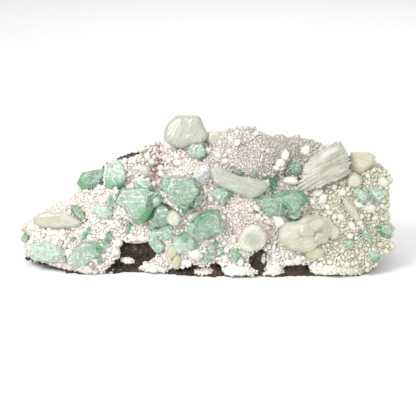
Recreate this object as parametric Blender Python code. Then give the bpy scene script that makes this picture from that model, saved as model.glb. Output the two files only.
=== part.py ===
"""Green apophyllite and cream stilbite crystals on a white heulandite crust, on broken basalt.

The specimen stands on the flat foot of its basalt. +X runs to the viewer's right, +Y away from the
viewer and +Z up. The face that carries the crystals is seen from the front and a little above, so
places on it are measured in the picture plane: millimetres across from the middle of the specimen
and millimetres up from its front foot. A line of sight through that place then meets the crust.
"""

import math
import random
from dataclasses import dataclass

import bmesh
import bpy
from mathutils import Matrix, Vector, noise
from mathutils.bvhtree import BVHTree

MM = 0.001

# Driving dimensions
CLEARANCE = 0.3 * MM
CRUST_THICKNESS = 3.4 * MM
CRUST_DIP = 2.4 * MM
CRUST_FOOT = 0.8 * MM
LUMP_RELIEF = 1.5 * MM
LUMP_PITCH = 7.0 * MM
ROCK_RELIEF = 2.2 * MM
ROCK_GRAIN = 1.1 * MM
RANDOM_LUMPS = 8

# The viewer's eye, and the foot of the picture plane on the front edge of the base
EYE_TILT = math.radians(20)
EYE_DISTANCE = 608 * MM
FOOT = Vector((0, -35 * MM, 0))
AIM_ACROSS = 0.5 * MM
AIM_UP = 36 * MM

ACROSS = Vector((1, 0, 0))
AWAY = Vector((0, math.cos(EYE_TILT), -math.sin(EYE_TILT)))
PICTURE_UP = Vector((0, math.sin(EYE_TILT), math.cos(EYE_TILT)))
TOWARD = -AWAY
EYE = FOOT + ACROSS * AIM_ACROSS + PICTURE_UP * AIM_UP + TOWARD * EYE_DISTANCE

# Colour, roughness and metallic value of each mineral
BASALT = ("basalt", (0.075, 0.05, 0.042), 0.9)
HEULANDITE = ("heulandite", (0.84, 0.79, 0.76), 0.55)
APOPHYLLITE = ("apophyllite", (0.42, 0.72, 0.56), 0.12)
CLEAR_APOPHYLLITE = ("clear_apophyllite", (0.78, 0.85, 0.83), 0.08)
STILBITE = ("stilbite", (0.72, 0.71, 0.56), 0.3)


@dataclass
class Section:
    """One slice of the basalt across X, in millimetres."""

    x: float
    top: float
    front: float
    ridge: float
    back: float
    lift: float
    belly: float


SECTIONS = (
    Section(-97, top=16.5, front=-22, ridge=-9, back=3, lift=5, belly=0.5),
    Section(-92, top=20, front=-25, ridge=-8, back=12, lift=4.2, belly=1),
    Section(-86, top=26, front=-28, ridge=-7, back=17, lift=3.4, belly=2),
    Section(-72, top=29.5, front=-32, ridge=-3, back=25, lift=1.5, belly=3),
    Section(-61, top=42, front=-34, ridge=0, back=28, lift=0, belly=4),
    Section(-53, top=55, front=-32, ridge=2, back=30, lift=0, belly=4),
    Section(-41, top=58.5, front=-29, ridge=3, back=32, lift=0, belly=3),
    Section(-32, top=61.5, front=-29, ridge=4, back=33, lift=0, belly=3),
    Section(-24, top=57.5, front=-31, ridge=4, back=33, lift=0, belly=3),
    Section(-12, top=59.5, front=-34, ridge=4, back=34, lift=0, belly=3),
    Section(0, top=60.5, front=-35, ridge=3, back=35, lift=0, belly=3),
    Section(12, top=66.5, front=-35, ridge=1, back=35, lift=0, belly=4),
    Section(22, top=68, front=-35, ridge=0, back=34, lift=0, belly=5),
    Section(32, top=62, front=-35, ridge=1, back=33, lift=0, belly=5),
    Section(43, top=62, front=-35, ridge=2, back=33, lift=0, belly=5),
    Section(57, top=60, front=-35, ridge=2, back=32, lift=0, belly=4),
    Section(70, top=55, front=-35, ridge=1, back=30, lift=0, belly=3),
    Section(82, top=51, front=-34, ridge=0, back=27, lift=0, belly=3),
    Section(90, top=48, front=-31, ridge=-1, back=22, lift=4, belly=2),
    Section(96, top=43.5, front=-25, ridge=-3, back=14, lift=13, belly=1),
)


@dataclass
class Window:
    """A gap in the crust that shows basalt, an ellipse in the picture plane, in millimetres."""

    across: float
    up: float
    wide: float
    high: float


WINDOWS = (
    Window(-36, 13, wide=9.6, high=6.2),
    Window(-43, 4, wide=7, high=4.5),
    Window(-37.5, 6, wide=4, high=4),
    Window(-17, 1.5, wide=3, high=2.6),
    Window(-7.5, 2, wide=6, high=3.2),
    Window(4, 2, wide=4.5, high=3.4),
    Window(27, 8.2, wide=4.6, high=6),
    Window(28.6, 2.2, wide=3.2, high=3.4),
    Window(47.5, 1.5, wide=9, high=3.6),
    Window(79, 1, wide=2.5, high=2.5),
    Window(-81, 7, wide=10, high=2.4),
    Window(-59, 1, wide=5, high=2),
)


@dataclass
class Prism:
    """One square apophyllite prism with pyramid ends, in millimetres and degrees.

    lean turns its long axis in the picture plane, toward tips its far end to the viewer, and roll
    turns it about that axis. point is how far the pyramid reaches down the prism's edges and apex
    how far its tip would rise past the flat end. stand lifts its middle off the crust.
    """

    across: float
    up: float
    length: float
    width: float
    depth: float
    lean: float
    toward: float = 0
    roll: float = 0
    point: float = 3
    apex: float = 3
    stand: float = 0
    y: float | None = None


PRISM_GROUPS = {
    "apophyllite_left_wing": (
        Prism(-61, 50.6, 16.5, 10, 9, lean=189, toward=10, roll=12, point=4, apex=1.5, stand=1.5),
    ),
    "apophyllite_left_upright": (
        Prism(-48.2, 52.8, 17, 9.5, 8.5, lean=97, toward=8, roll=-20, point=5, apex=3, stand=1.5),
    ),
    "apophyllite_large_left": (
        Prism(-38.2, 38.3, 17.5, 17, 14, lean=60, toward=8, roll=6, point=3.5, apex=1.5, stand=4.5),
        Prism(-27.4, 40.6, 9, 8, 8, lean=-20, toward=48, roll=20, point=2, apex=2, stand=4),
        Prism(-33, 46.8, 13.5, 5.5, 7, lean=-25, toward=0, roll=30, point=2.5, apex=2, stand=3.5),
        Prism(-48.6, 41, 10, 8, 8, lean=146, toward=15, roll=10, point=3, apex=2, stand=2.5),
    ),
    "apophyllite_large_centre": (
        Prism(-14, 43.4, 21.5, 17, 14, lean=-42, toward=4, roll=-8, point=5, apex=1.5, stand=4),
        Prism(-6, 39.5, 9, 6, 7, lean=-50, toward=10, roll=20, point=2, apex=2, stand=2),
    ),
    "apophyllite_behind_centre": (
        Prism(-24.4, 32.4, 11, 8.5, 8, lean=62, toward=12, roll=25, point=3, apex=2, stand=0.5),
    ),
    "apophyllite_facing": (
        Prism(-54.2, 34.7, 11, 10, 10, lean=-70, toward=62, roll=20, point=3, apex=1, stand=0.5),
    ),
    "apophyllite_small_left": (
        Prism(-67.2, 33.2, 12, 5.5, 5.5, lean=-48, toward=5, roll=30, point=2.5, apex=2, stand=1),
    ),
    "apophyllite_foot_far_left": (
        Prism(-83.6, 12.8, 21, 9.5, 8, lean=177, toward=3, roll=-15, point=3.5, apex=1.5, stand=1),
    ),
    "apophyllite_foot_left": (
        Prism(-64.7, 11.6, 19, 11.5, 10, lean=24, toward=5, roll=15, point=5, apex=2, stand=2),
    ),
    "apophyllite_crest": (
        Prism(-5.4, 65.6, 11.5, 9, 8, lean=-22, toward=20, roll=20, point=3, apex=2, stand=1.5),
    ),
    "apophyllite_clear": (
        Prism(-2.2, 54.2, 10, 6, 6, lean=42, toward=25, roll=10, point=3, apex=2, stand=1.5),
    ),
    "apophyllite_small_centre": (
        Prism(7.8, 42.6, 13, 8.5, 7, lean=-14, toward=8, roll=20, point=3, apex=2, stand=0.5),
    ),
    "apophyllite_right_pair": (
        Prism(34, 36.6, 18.5, 10.5, 10, lean=-10, toward=6, roll=15, point=4, apex=2, stand=1.5),
        Prism(45.4, 38.8, 16.5, 13, 11, lean=8, toward=12, roll=-25, point=5, apex=2, stand=2),
        Prism(48.2, 32.4, 10, 8, 8, lean=-70, toward=15, roll=20, point=3, apex=2, stand=1),
    ),
    "apophyllite_diagonal": (
        Prism(1.4, 26.9, 21, 12.5, 11, lean=38, toward=5, roll=12, point=5, apex=2.5, stand=3),
        Prism(-11.4, 16.8, 17, 9, 8, lean=47, toward=3, roll=-18, point=4, apex=2, stand=1.5),
    ),
    "apophyllite_button": (
        Prism(-28.2, 27.9, 6, 5.5, 5.5, lean=80, toward=60, roll=20, point=1.5, apex=1, stand=1),
    ),
    "apophyllite_ledge": (
        Prism(-23.6, 22.8, 11, 5, 5, lean=12, toward=8, roll=30, point=2, apex=1.5, stand=0.5),
    ),
    "apophyllite_below_ledge": (
        Prism(-26, 16.8, 9, 5.5, 5.5, lean=-52, toward=10, roll=20, point=2, apex=1.5, stand=0.5),
    ),
    "apophyllite_foot_centre": (
        Prism(1.2, 11.4, 8, 4.5, 4.5, lean=48, toward=10, roll=25, point=2, apex=1.5, stand=0.5),
    ),
    "apophyllite_foot_mint": (
        Prism(14.4, 11.2, 6.5, 5, 5, lean=25, toward=20, roll=30, point=2, apex=1, stand=0.5),
    ),
    "apophyllite_beside_sheaf": (
        Prism(45, 56.2, 9.5, 6, 6, lean=48, toward=12, roll=20, point=2.5, apex=2, stand=0.5),
    ),
    "apophyllite_right_pale": (
        Prism(80.3, 42.6, 11, 6.5, 6.5, lean=-58, toward=8, roll=25, point=2.5, apex=2, stand=0.5),
    ),
    "apophyllite_far_right_pale": (
        Prism(89, 43.6, 11, 7, 6.5, lean=-50, toward=5, roll=10, point=2.5, apex=2, stand=0.5),
    ),
    "apophyllite_right_edge": (
        Prism(93.4, 24.3, 10, 7.6, 7, lean=-12, toward=8, roll=20, point=3, apex=2, y=-24),
    ),
    "apophyllite_right_low": (
        Prism(84, 20.4, 10, 5, 5, lean=-60, toward=5, roll=30, point=2, apex=1.5, stand=0.5),
    ),
}


@dataclass
class Plate:
    """One flat stilbite crystal with a crowned face, in millimetres and degrees.

    outline is its rim as seen by the viewer, about its middle. turn swings it about the upright of
    the picture plane and nod about the horizontal. y, if given, is its middle's place in depth.
    """

    across: float
    up: float
    outline: tuple
    thick: float
    turn: float = 0
    nod: float = 0
    stand: float = 0
    y: float | None = None


def pebble(wide, high, lean=0.0):
    """An eight-sided rim, wide by high millimetres, leaning by lean degrees."""
    turn = math.radians(lean)
    rim = []
    for step in range(8):
        angle = math.tau * (step + 0.5) / 8
        a = wide / 2 * math.cos(angle) * 1.06
        b = high / 2 * math.sin(angle) * 1.06
        rim.append((a * math.cos(turn) - b * math.sin(turn), a * math.sin(turn) + b * math.cos(turn)))
    return tuple(rim)


# Share of the rim and height from back to front, as a share of half the thickness
PLATE_PROFILE = ((0.78, -1.0), (1.0, -0.3), (0.92, 0.65), (0.58, 1.0))
PEBBLE_PROFILE = ((0.7, -1.0), (1.0, 0.0), (0.66, 1.0))

FAN_RIM = (
    (-12.1, -4.5), (-11.8, 0.3), (-11, 2.9), (-7.9, 6.6), (-4.7, 8.7), (6.3, 8.7), (7.9, 7.6),
    (9.5, 3.4), (12.1, -1.8), (11, -4.5), (7.9, -7.1), (2.1, -7.6), (-1.6, -9.2), (-6, -8.4),
    (-9.5, -6.8),
)
CURVED_RIM = (
    (-15.8, 7.9), (-12.1, 8.7), (-7.9, 6.8), (-1.6, 3.9), (5.3, 2.6), (11.6, 0.8), (16.3, -0.5),
    (14.7, -3.7), (10, -7.4), (5.3, -8.7), (-1.1, -5.8), (-7.9, -3.4), (-13.7, -0.5), (-15.3, 3.7),
)
SHEAF_RIM = (
    (-15.8, 1.1), (-12.6, 3.7), (-5.8, 7.9), (2.1, 12.4), (5.6, 13), (9.5, 11.6), (14.2, 5.3),
    (13.9, -0.4), (6.8, -5.6), (1.1, -8.9), (-6.3, -12.5), (-11.6, -12.1), (-13.7, -8.9),
    (-14.6, -4.7),
)
WEDGE_RIM = ((-6.6, 6.1), (4, 5.8), (7.4, 3.2), (5.8, 0), (4, -2.5), (-1.7, -7.1), (-6.8, -4.2))
SHIELD_RIM = (
    (-7.6, -1.3), (-3.9, 5.8), (0.8, 7.4), (4.6, 7.1), (7.4, 2.9), (7.6, -1.3), (5.5, -5.6),
    (-1, -7.7), (-6.3, -6),
)
LOBED_RIM = (
    (-13.3, -2.1), (-12.4, 3.2), (-9.1, 6.4), (-2.5, 6.9), (1.3, 10.2), (6.8, 9.7), (12.5, 9.3),
    (15.8, 5.5), (15.3, -1.1), (9.2, -4.8), (4.1, -10), (-4.4, -9.1), (-11, -5.8),
)
BLADE_RIM = (
    (-13.5, 0.3), (-9.9, 3.9), (-5.1, 4.8), (3.9, 3.7), (8.8, 2.1), (13.7, -1.5), (10.6, -3.9),
    (5.2, -4.5), (-1.4, -5.1), (-8.7, -3.9), (-12, -2.1),
)

PLATE_GROUPS = {
    "stilbite_fan_crest": (Plate(-11.1, 76.3, FAN_RIM, 7, turn=-8, nod=-6, y=-1),),
    "stilbite_bud_crest": (Plate(4.4, 72, pebble(9.4, 7.8, -15), 5.5, turn=10, y=-1),),
    "stilbite_curved_blade": (Plate(17.4, 49.2, CURVED_RIM, 6.5, turn=4, nod=-10, stand=2.2),),
    "stilbite_sheaf": (Plate(61.1, 57.6, SHEAF_RIM, 9.5, turn=6, nod=-8, stand=4),),
    "stilbite_wedge": (Plate(81.8, 59.6, WEDGE_RIM, 7, turn=-10, nod=-6, y=-5),),
    "stilbite_below_wedge": (Plate(77.4, 50.3, pebble(8.5, 8, 20), 5.5, turn=8, stand=1),),
    "stilbite_shield": (Plate(23.7, 20.3, SHIELD_RIM, 6, turn=-10, nod=6, stand=2),),
    "stilbite_lobed": (
        Plate(50.5, 22.4, LOBED_RIM, 9, turn=6, nod=4, stand=2.5),
        Plate(66, 23.6, pebble(6.5, 8.5, 10), 6, turn=20, stand=1.5),
        Plate(56.6, 12.4, pebble(10.5, 7, 5), 5.5, nod=12, stand=1),
    ),
    "stilbite_left_blade": (Plate(-78.7, 29.7, BLADE_RIM, 6, turn=-6, nod=-4, stand=2),),
    "stilbite_twin_foot": (
        Plate(-18.4, 13, pebble(5.6, 7.5, -15), 5, stand=1.5),
        Plate(-16.2, 8, pebble(4.6, 8.6, -12), 4.5, nod=10, stand=1),
    ),
    "stilbite_block_centre": (Plate(-17.6, 30.8, pebble(7.8, 9, 10), 6, turn=-12, stand=1.5),),
    "stilbite_right_sliver": (Plate(75.8, 35, pebble(14.5, 4.8, -57), 4.5, nod=5, stand=1),),
    "stilbite_block_left": (Plate(-33, 55.4, pebble(5.6, 6.4, 30), 5.5, turn=15, stand=1),),
}


@dataclass
class Lump:
    """A larger heulandite crystal fused to the crust, in millimetres and degrees."""

    across: float
    up: float
    wide: float
    high: float
    lean: float = 0


NAMED_LUMPS = (
    Lump(-81.8, 23, 6, 5, 20),
    Lump(-77.2, 24.6, 6.5, 4, -15),
    Lump(-78.6, 18.4, 5, 5.5, 0),
    Lump(43.9, 49.7, 9.5, 6, -5),
    Lump(-6.6, 11.6, 7.2, 5.6, 0),
    Lump(-43.4, 57, 6, 4, -25),
    Lump(85.3, 35.5, 6.5, 5, 10),
    Lump(40.5, 64.5, 5, 4.6, 20),
    Lump(38.4, 57.6, 5.5, 6, -20),
    Lump(52.1, 66, 6, 6, 30),
    Lump(37.8, 28.4, 6, 8, 0),
    Lump(-29, 62.6, 5, 5, 15),
)


def fresh_scene():
    """Removes every object and makes the collection of the pieces and that of the cutters."""
    for obj in list(bpy.data.objects):
        bpy.data.objects.remove(obj, do_unlink=True)
    pieces = bpy.data.collections.new("apophyllite_on_heulandite")
    cutters = bpy.data.collections.new("cutters")
    bpy.context.scene.collection.children.link(pieces)
    bpy.context.scene.collection.children.link(cutters)
    return pieces, cutters


def mineral(finish):
    """The Principled material of one mineral."""
    name, colour, roughness = finish
    found = bpy.data.materials.get(name)
    if found:
        return found
    material = bpy.data.materials.new(name)
    material.use_nodes = True
    shader = material.node_tree.nodes["Principled BSDF"]
    shader.inputs["Base Color"].default_value = (*colour, 1)
    shader.inputs["Roughness"].default_value = roughness
    shader.inputs["Metallic"].default_value = 0
    return material


def object_from(bm, name, collection, finish=None):
    """A bmesh made an object of that collection."""
    mesh = bpy.data.meshes.new(name)
    bm.to_mesh(mesh)
    bm.free()
    obj = bpy.data.objects.new(name, mesh)
    collection.objects.link(obj)
    if finish:
        mesh.materials.append(mineral(finish))
    return obj


def blend_section(x):
    """The basalt's slice at x millimetres, eased between the two nearest sections."""
    left, right = SECTIONS[0], SECTIONS[1]
    for left, right in zip(SECTIONS, SECTIONS[1:]):
        if x <= right.x:
            break
    share = min(1.0, max(0.0, (x - left.x) / (right.x - left.x)))

    def eased(field):
        low, high = getattr(left, field), getattr(right, field)
        return low + (high - low) * share

    return Section(x, *(eased(f) for f in ("top", "front", "ridge", "back", "lift", "belly")))


def section_rim(section, count):
    """count points around a slice, in (y, z) millimetres, from the front foot over the crest."""
    s = section
    rise = s.top - s.lift
    slope = Vector((s.ridge - s.front, rise)).normalized()
    out = Vector((-slope.y, slope.x))
    foot, crest = Vector((s.front, s.lift)), Vector((s.ridge, s.top))
    guide = (
        foot,
        foot.lerp(crest, 0.3) + out * s.belly * 0.8,
        foot.lerp(crest, 0.62) + out * s.belly * 1.1,
        foot.lerp(crest, 0.88) + out * s.belly * 0.7,
        crest,
        Vector((s.ridge + 0.4 * (s.back - s.ridge), s.lift + 0.87 * rise)),
        Vector((s.ridge + 0.8 * (s.back - s.ridge), s.lift + 0.62 * rise)),
        Vector((s.back, s.lift + 0.3 * rise)),
        Vector((s.back - 1.5, s.lift)),
    )
    lengths = [(b - a).length for a, b in zip(guide, guide[1:])]
    total = sum(lengths)
    rim = []
    for step in range(count):
        along = total * step / (count - 1)
        at = 0
        while at < len(lengths) - 1 and along > lengths[at]:
            along -= lengths[at]
            at += 1
        rim.append(guide[at].lerp(guide[at + 1], min(1.0, along / lengths[at])))
    return rim


def in_picture(point):
    """Where a point shows in the picture plane, in millimetres across and up."""
    sight = point - EYE
    reach = EYE_DISTANCE / sight.dot(AWAY)
    on_plane = EYE + sight * reach - FOOT
    return on_plane.dot(ACROSS) / MM, on_plane.dot(PICTURE_UP) / MM


def hollow(across, up, at_across, at_up, wide, high):
    """A smooth bump of height 1 at a place in the picture plane, 0 outside wide and high."""
    far = math.hypot((across - at_across) / wide, (up - at_up) / high)
    return max(0.0, 1 - far * far) ** 2


def relief(point):
    """How far the basalt's face rises or sinks at a point, in metres."""
    across, up = in_picture(point)
    mound = 4.0 * hollow(across, up, 24, 62, 34, 20)
    furrow = -4.5 * hollow(across, up, -27, 58, 12, 17)
    blade_seat = -2.5 * hollow(across, up, 17, 47, 26, 9)
    left_step = 2.0 * hollow(across, up, -48, 42, 26, 24)
    front = 1.0 if point.y < 6 * MM else 0.0
    broad = noise.fractal(point / (26 * MM), 1.0, 2.0, 3) * ROCK_RELIEF
    fine = noise.noise(point / (8 * MM) + Vector((7, 3, 1))) * ROCK_GRAIN
    end_fade = min(1.0, (99 - abs(point.x / MM)) / 10)
    return (mound + furrow + blade_seat + left_step) * MM * front + (broad + fine) * end_fade


def rock_grid(slices, around):
    """The basalt's surface as rows of points and outward normals, one row for each slice."""
    first, last = SECTIONS[0].x, SECTIONS[-1].x
    rows = []
    for i in range(slices):
        x = first + (last - first) * i / (slices - 1)
        section = blend_section(x)
        rows.append([Vector((x, y, z)) * MM for y, z in section_rim(section, around)])
    moved = []
    for i, row in enumerate(rows):
        before, after = rows[max(0, i - 1)], rows[min(slices - 1, i + 1)]
        new_row = []
        for j, point in enumerate(row):
            along_x = after[j] - before[j]
            along_rim = row[min(around - 1, j + 1)] - row[max(0, j - 1)]
            normal = along_x.cross(along_rim).normalized()
            foot = min(j, around - 1 - j) == 0
            shift = normal * relief(point)
            if foot:
                shift = Vector((0, shift.y * 0.5, 0))
            new_row.append((point + shift, normal))
        moved.append(new_row)
    return moved


def stood_off(point, normal, offset):
    """A grid point moved out along its normal, but never down toward the ground."""
    moved = point + normal * offset(point, normal)
    if point.z < 9 * MM:
        moved.z = max(moved.z, point.z)
    return moved


def skin(rows, offset, foot=0.0):
    """A closed bmesh over the grid's points, each moved out along its normal by offset(point).

    foot lifts the lowest point at the front and back of each row.
    """
    bm = bmesh.new()
    grid = []
    for row in rows:
        places = [stood_off(point, normal, offset) for point, normal in row]
        places[0].z += foot
        places[-1].z += foot
        grid.append([bm.verts.new(place) for place in places])
    for row, following in zip(grid, grid[1:]):
        for j in range(len(row)):
            k = (j + 1) % len(row)
            bm.faces.new((row[j], row[k], following[k], following[j]))
    bm.faces.new(grid[0][::-1])
    bm.faces.new(grid[-1])
    ends = [f for f in bm.faces if len(f.verts) > 4]
    bmesh.ops.poke(bm, faces=ends)
    bmesh.ops.triangulate(bm, faces=bm.faces, quad_method="FIXED")
    return facing_out(bm)


def crust_cover(point):
    """1 where the crust is whole, falling to -1 where the basalt is bare."""
    x = point.x / MM
    section = blend_section(x)
    across, up = in_picture(point)
    wander = noise.noise(point / (9 * MM))
    over = 7.0 + 4 * wander
    bare_crest = hollow(x, 0, -44, 0, 17, 1)
    over -= 10 * min(1.0, 2.2 * bare_crest)
    over += 6 * hollow(across, up, -27, 58, 12, 17)
    if x > 80:
        over += (x - 80) * 0.7
    if x < -80:
        over += (-80 - x) * 0.4
    behind = (section.ridge + over - point.y / MM) / 5
    cover = behind
    for w in WINDOWS:
        far = math.hypot((across - w.across) / w.wide, (up - w.up) / w.high)
        cover = min(cover, (far - 1) * min(w.wide, w.high) / 2.4 + 0.25 * wander)
    return max(-1.0, min(1.0, cover))


def crust_offset(point, _normal):
    """How far the crust's outer form stands off the basalt, negative where it dips inside."""
    cover = crust_cover(point)
    if cover <= 0:
        return CRUST_DIP * cover
    near = noise.voronoi(point / LUMP_PITCH)[0][0]
    lump = LUMP_RELIEF * (0.9 - 1.6 * near)
    return (CRUST_THICKNESS + lump) * cover


def sight_frame(lean, toward, roll):
    """Turns a crystal's own Z to its long axis, lean degrees round in the picture plane."""
    a, t = math.radians(lean), math.radians(toward)
    axis = (ACROSS * math.cos(a) + PICTURE_UP * math.sin(a)) * math.cos(t) + TOWARD * math.sin(t)
    side = axis.cross(TOWARD).normalized()
    face = side.cross(axis).normalized()
    turn = Matrix((side, -face, axis)).transposed().to_4x4()
    return turn @ Matrix.Rotation(math.radians(roll), 4, "Z")


def plate_frame(turn, nod):
    """Turns a plate that faces the viewer about the upright and then the horizontal."""
    facing = Matrix((ACROSS, PICTURE_UP, TOWARD)).transposed().to_4x4()
    swing = Matrix.Rotation(math.radians(turn), 4, "Y")
    return facing @ swing @ Matrix.Rotation(math.radians(nod), 4, "X")


def seat(tree, across, up, stand, y):
    """The point that shows at a place in the picture plane: on the crust, or at depth y.

    A place just over the crest takes the depth of the crust's edge below it.
    """
    sight = (FOOT + ACROSS * across * MM + PICTURE_UP * up * MM - EYE).normalized()
    if y is None:
        for drop in range(12):
            lower = FOOT + ACROSS * across * MM + PICTURE_UP * (up - drop) * MM
            hit = tree.ray_cast(EYE, (lower - EYE).normalized())[0]
            if hit is not None:
                break
        if drop == 0:
            return hit - sight * stand * MM
        y = hit.y / MM
    return EYE + sight * ((y * MM - EYE.y) / sight.y)


def facing_out(bm):
    """Turns every face outward."""
    bmesh.ops.recalc_face_normals(bm, faces=bm.faces)
    if bm.calc_volume(signed=True) < 0:
        bmesh.ops.reverse_faces(bm, faces=bm.faces)
    return bm


def cut_flat(bm, at, normal):
    """Cuts away what lies past a plane and closes the cut with one face."""
    cut = bmesh.ops.bisect_plane(
        bm, geom=bm.verts[:] + bm.edges[:] + bm.faces[:], dist=1e-7,
        plane_co=at, plane_no=normal, clear_outer=True,
    )
    edges = [e for e in cut["geom_cut"] if isinstance(e, bmesh.types.BMEdge)]
    if edges:
        bmesh.ops.contextual_create(bm, geom=edges)


def prism_bmesh(prism, tree):
    """A square prism with four pyramid faces over its edges at each end, and a flat end."""
    length, width, depth = prism.length * MM, prism.width * MM, prism.depth * MM
    bm = bmesh.new()
    bmesh.ops.create_cube(bm, size=1)
    bmesh.ops.scale(bm, vec=(width, depth, length), verts=bm.verts)
    corner = math.hypot(width, depth) / 2
    for end in (1, -1):
        point = prism.point * MM * (1 if end > 0 else 0.75)
        for side_x in (1, -1):
            for side_y in (1, -1):
                out = Vector((side_x * depth, side_y * width, 0)).normalized()
                slope = Vector((0, 0, end)) * corner + out * (point + prism.apex * MM)
                tip = Vector((0, 0, end * (length / 2 + prism.apex * MM)))
                cut_flat(bm, tip, slope.normalized())
    bmesh.ops.remove_doubles(bm, verts=bm.verts, dist=0.05 * MM)
    place = Matrix.Translation(seat(tree, prism.across, prism.up, prism.stand, prism.y))
    bm.transform(place @ sight_frame(prism.lean, prism.toward, prism.roll))
    return facing_out(bm)


def plate_bmesh(plate, tree):
    """A flat crystal extruded from its back through its widest rim to a smaller, crowned face."""
    half = plate.thick / 2 * MM
    profile = PEBBLE_PROFILE if len(plate.outline) == 8 else PLATE_PROFILE
    share, height = profile[0]
    bm = bmesh.new()
    rim = [bm.verts.new((a * share * MM, b * share * MM, height * half)) for a, b in plate.outline]
    bm.faces.new(rim)
    top, inner = bm.faces[:], []
    for next_share, next_height in profile[1:]:
        made = bmesh.ops.extrude_face_region(bm, geom=top)["geom"]
        top = [g for g in made if isinstance(g, bmesh.types.BMFace)]
        inner += top
        verts = [g for g in made if isinstance(g, bmesh.types.BMVert)]
        grow = next_share / share
        bmesh.ops.scale(bm, vec=(grow, grow, 1), verts=verts)
        bmesh.ops.translate(bm, vec=(0, 0, (next_height - height) * half), verts=verts)
        share, height = next_share, next_height
    bmesh.ops.delete(bm, geom=[f for f in inner if f not in top], context="FACES_ONLY")
    place = Matrix.Translation(seat(tree, plate.across, plate.up, plate.stand, plate.y))
    bm.transform(place @ plate_frame(plate.turn, plate.nod))
    return facing_out(bm)


def lump_bmesh(at, outward, wide, high, lean):
    """A coffin-shaped heulandite crystal, lying flat on the crust at a point."""
    bm = bmesh.new()
    bmesh.ops.create_cube(bm, size=1)
    bmesh.ops.scale(bm, vec=(wide, high, min(wide, high) * 0.9), verts=bm.verts)
    for side_x in (1, -1):
        for side_y in (1, -1):
            corner = Vector((side_x * wide * 0.36, side_y * high * 0.36, 0))
            cut_flat(bm, corner, Vector((side_x * high, side_y * wide, 0.35 * wide)).normalized())
    upright = outward.to_track_quat("Z", "Y").to_matrix().to_4x4()
    bm.transform(Matrix.Translation(at) @ upright @ Matrix.Rotation(math.radians(lean), 4, "Z"))
    return facing_out(bm)


def baked(obj):
    """Applies an object's modifiers to its mesh."""
    graph = bpy.context.evaluated_depsgraph_get()
    mesh = bpy.data.meshes.new_from_object(obj.evaluated_get(graph))
    old = obj.data
    obj.modifiers.clear()
    obj.data = mesh
    bpy.data.meshes.remove(old)


def combine(obj, others, operation):
    """Joins other objects to one, or cuts them from it, all in one step."""
    if not others:
        return
    together = bpy.data.collections.new("together")
    for other in others:
        together.objects.link(other)
    step = obj.modifiers.new("step", "BOOLEAN")
    step.operation = operation
    step.solver = "EXACT"
    step.operand_type = "COLLECTION"
    step.collection = together
    baked(obj)
    bpy.data.collections.remove(together)


def swell(bm, distance):
    """Moves each face of a convex shape out by a distance."""
    bm.normal_update()
    moves = [v.normal * distance * min(2.0, v.calc_shell_factor()) for v in bm.verts]
    for vert, move in zip(bm.verts, moves):
        vert.co += move
    return bm


def keep_largest(obj):
    """Drops crumbs that a cut set free, and merges points that a cut left on each other."""
    bm = bmesh.new()
    bm.from_mesh(obj.data)
    bmesh.ops.remove_doubles(bm, verts=bm.verts, dist=0.002 * MM)
    unseen = set(bm.verts)
    islands = []
    while unseen:
        island, edge = set(), [unseen.pop()]
        while edge:
            vert = edge.pop()
            island.add(vert)
            for link in vert.link_edges:
                other = link.other_vert(vert)
                if other in unseen:
                    unseen.discard(other)
                    edge.append(other)
        islands.append(island)
    islands.sort(key=len, reverse=True)
    crumbs = [v for island in islands[1:] for v in island]
    bmesh.ops.delete(bm, geom=crumbs, context="VERTS")
    bm.to_mesh(obj.data)
    bm.free()


def apart(one, other, margin):
    """Whether two objects' boxes are further apart than a margin."""
    for axis in range(3):
        a = [v.co[axis] for v in one.data.vertices]
        b = [v.co[axis] for v in other.data.vertices]
        if min(a) > max(b) + margin or min(b) > max(a) + margin:
            return True
    return False


def group(name, members, shape, tree, distance, collection, finish=None):
    """The crystals of one grown-together group in one solid, each swollen by a distance."""
    first, *more = [
        object_from(swell(shape(member, tree), distance), name, collection) for member in members
    ]
    combine(first, more, "UNION")
    for other in more:
        bpy.data.objects.remove(other)
    first.name = name
    if finish:
        first.data.materials.clear()
        first.data.materials.append(mineral(finish))
    return first


def scatter_lumps(rows, crystals, cutters):
    """Larger heulandite crystals over the crust, clear of the placed crystals and the windows."""
    chance = random.Random(41)
    spots = [
        (p, n)
        for row in rows
        for p, n in row
        if crust_cover(p) > 0.95 and n.dot(TOWARD) > 0.5 and p.z > 9 * MM
    ]
    lumps = []
    taken = []
    while len(lumps) < RANDOM_LUMPS and spots:
        point, normal = chance.choice(spots)
        size = chance.uniform(4.2, 6.4) * MM
        lean = chance.uniform(0, 180)
        at = point + normal * (crust_offset(point, normal) - 0.15 * size)
        near = min((at - centre).length - reach for centre, reach in crystals + taken)
        spots.remove((point, normal))
        if near < size * 0.6:
            continue
        taken.append((at, size * 0.6))
        high = size * chance.uniform(0.7, 1)
        lumps.append(object_from(lump_bmesh(at, normal, size, high, lean), "lump", cutters))
    return lumps


def stand_on_middle(objects):
    """Moves all pieces so that the origin is under the middle of their box, on the foot.

    Each piece keeps its shape about its own middle, and its location places it.
    """
    corners = [v.co for obj in objects for v in obj.data.vertices]
    low = Vector(min(c[axis] for c in corners) for axis in range(3))
    high = Vector(max(c[axis] for c in corners) for axis in range(3))
    foot = Vector(((low.x + high.x) / 2, (low.y + high.y) / 2, low.z))
    for obj in objects:
        places = [v.co for v in obj.data.vertices]
        middle = sum(places, Vector()) / len(places)
        obj.data.transform(Matrix.Translation(-middle))
        obj.location = middle - foot
    return foot


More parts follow.
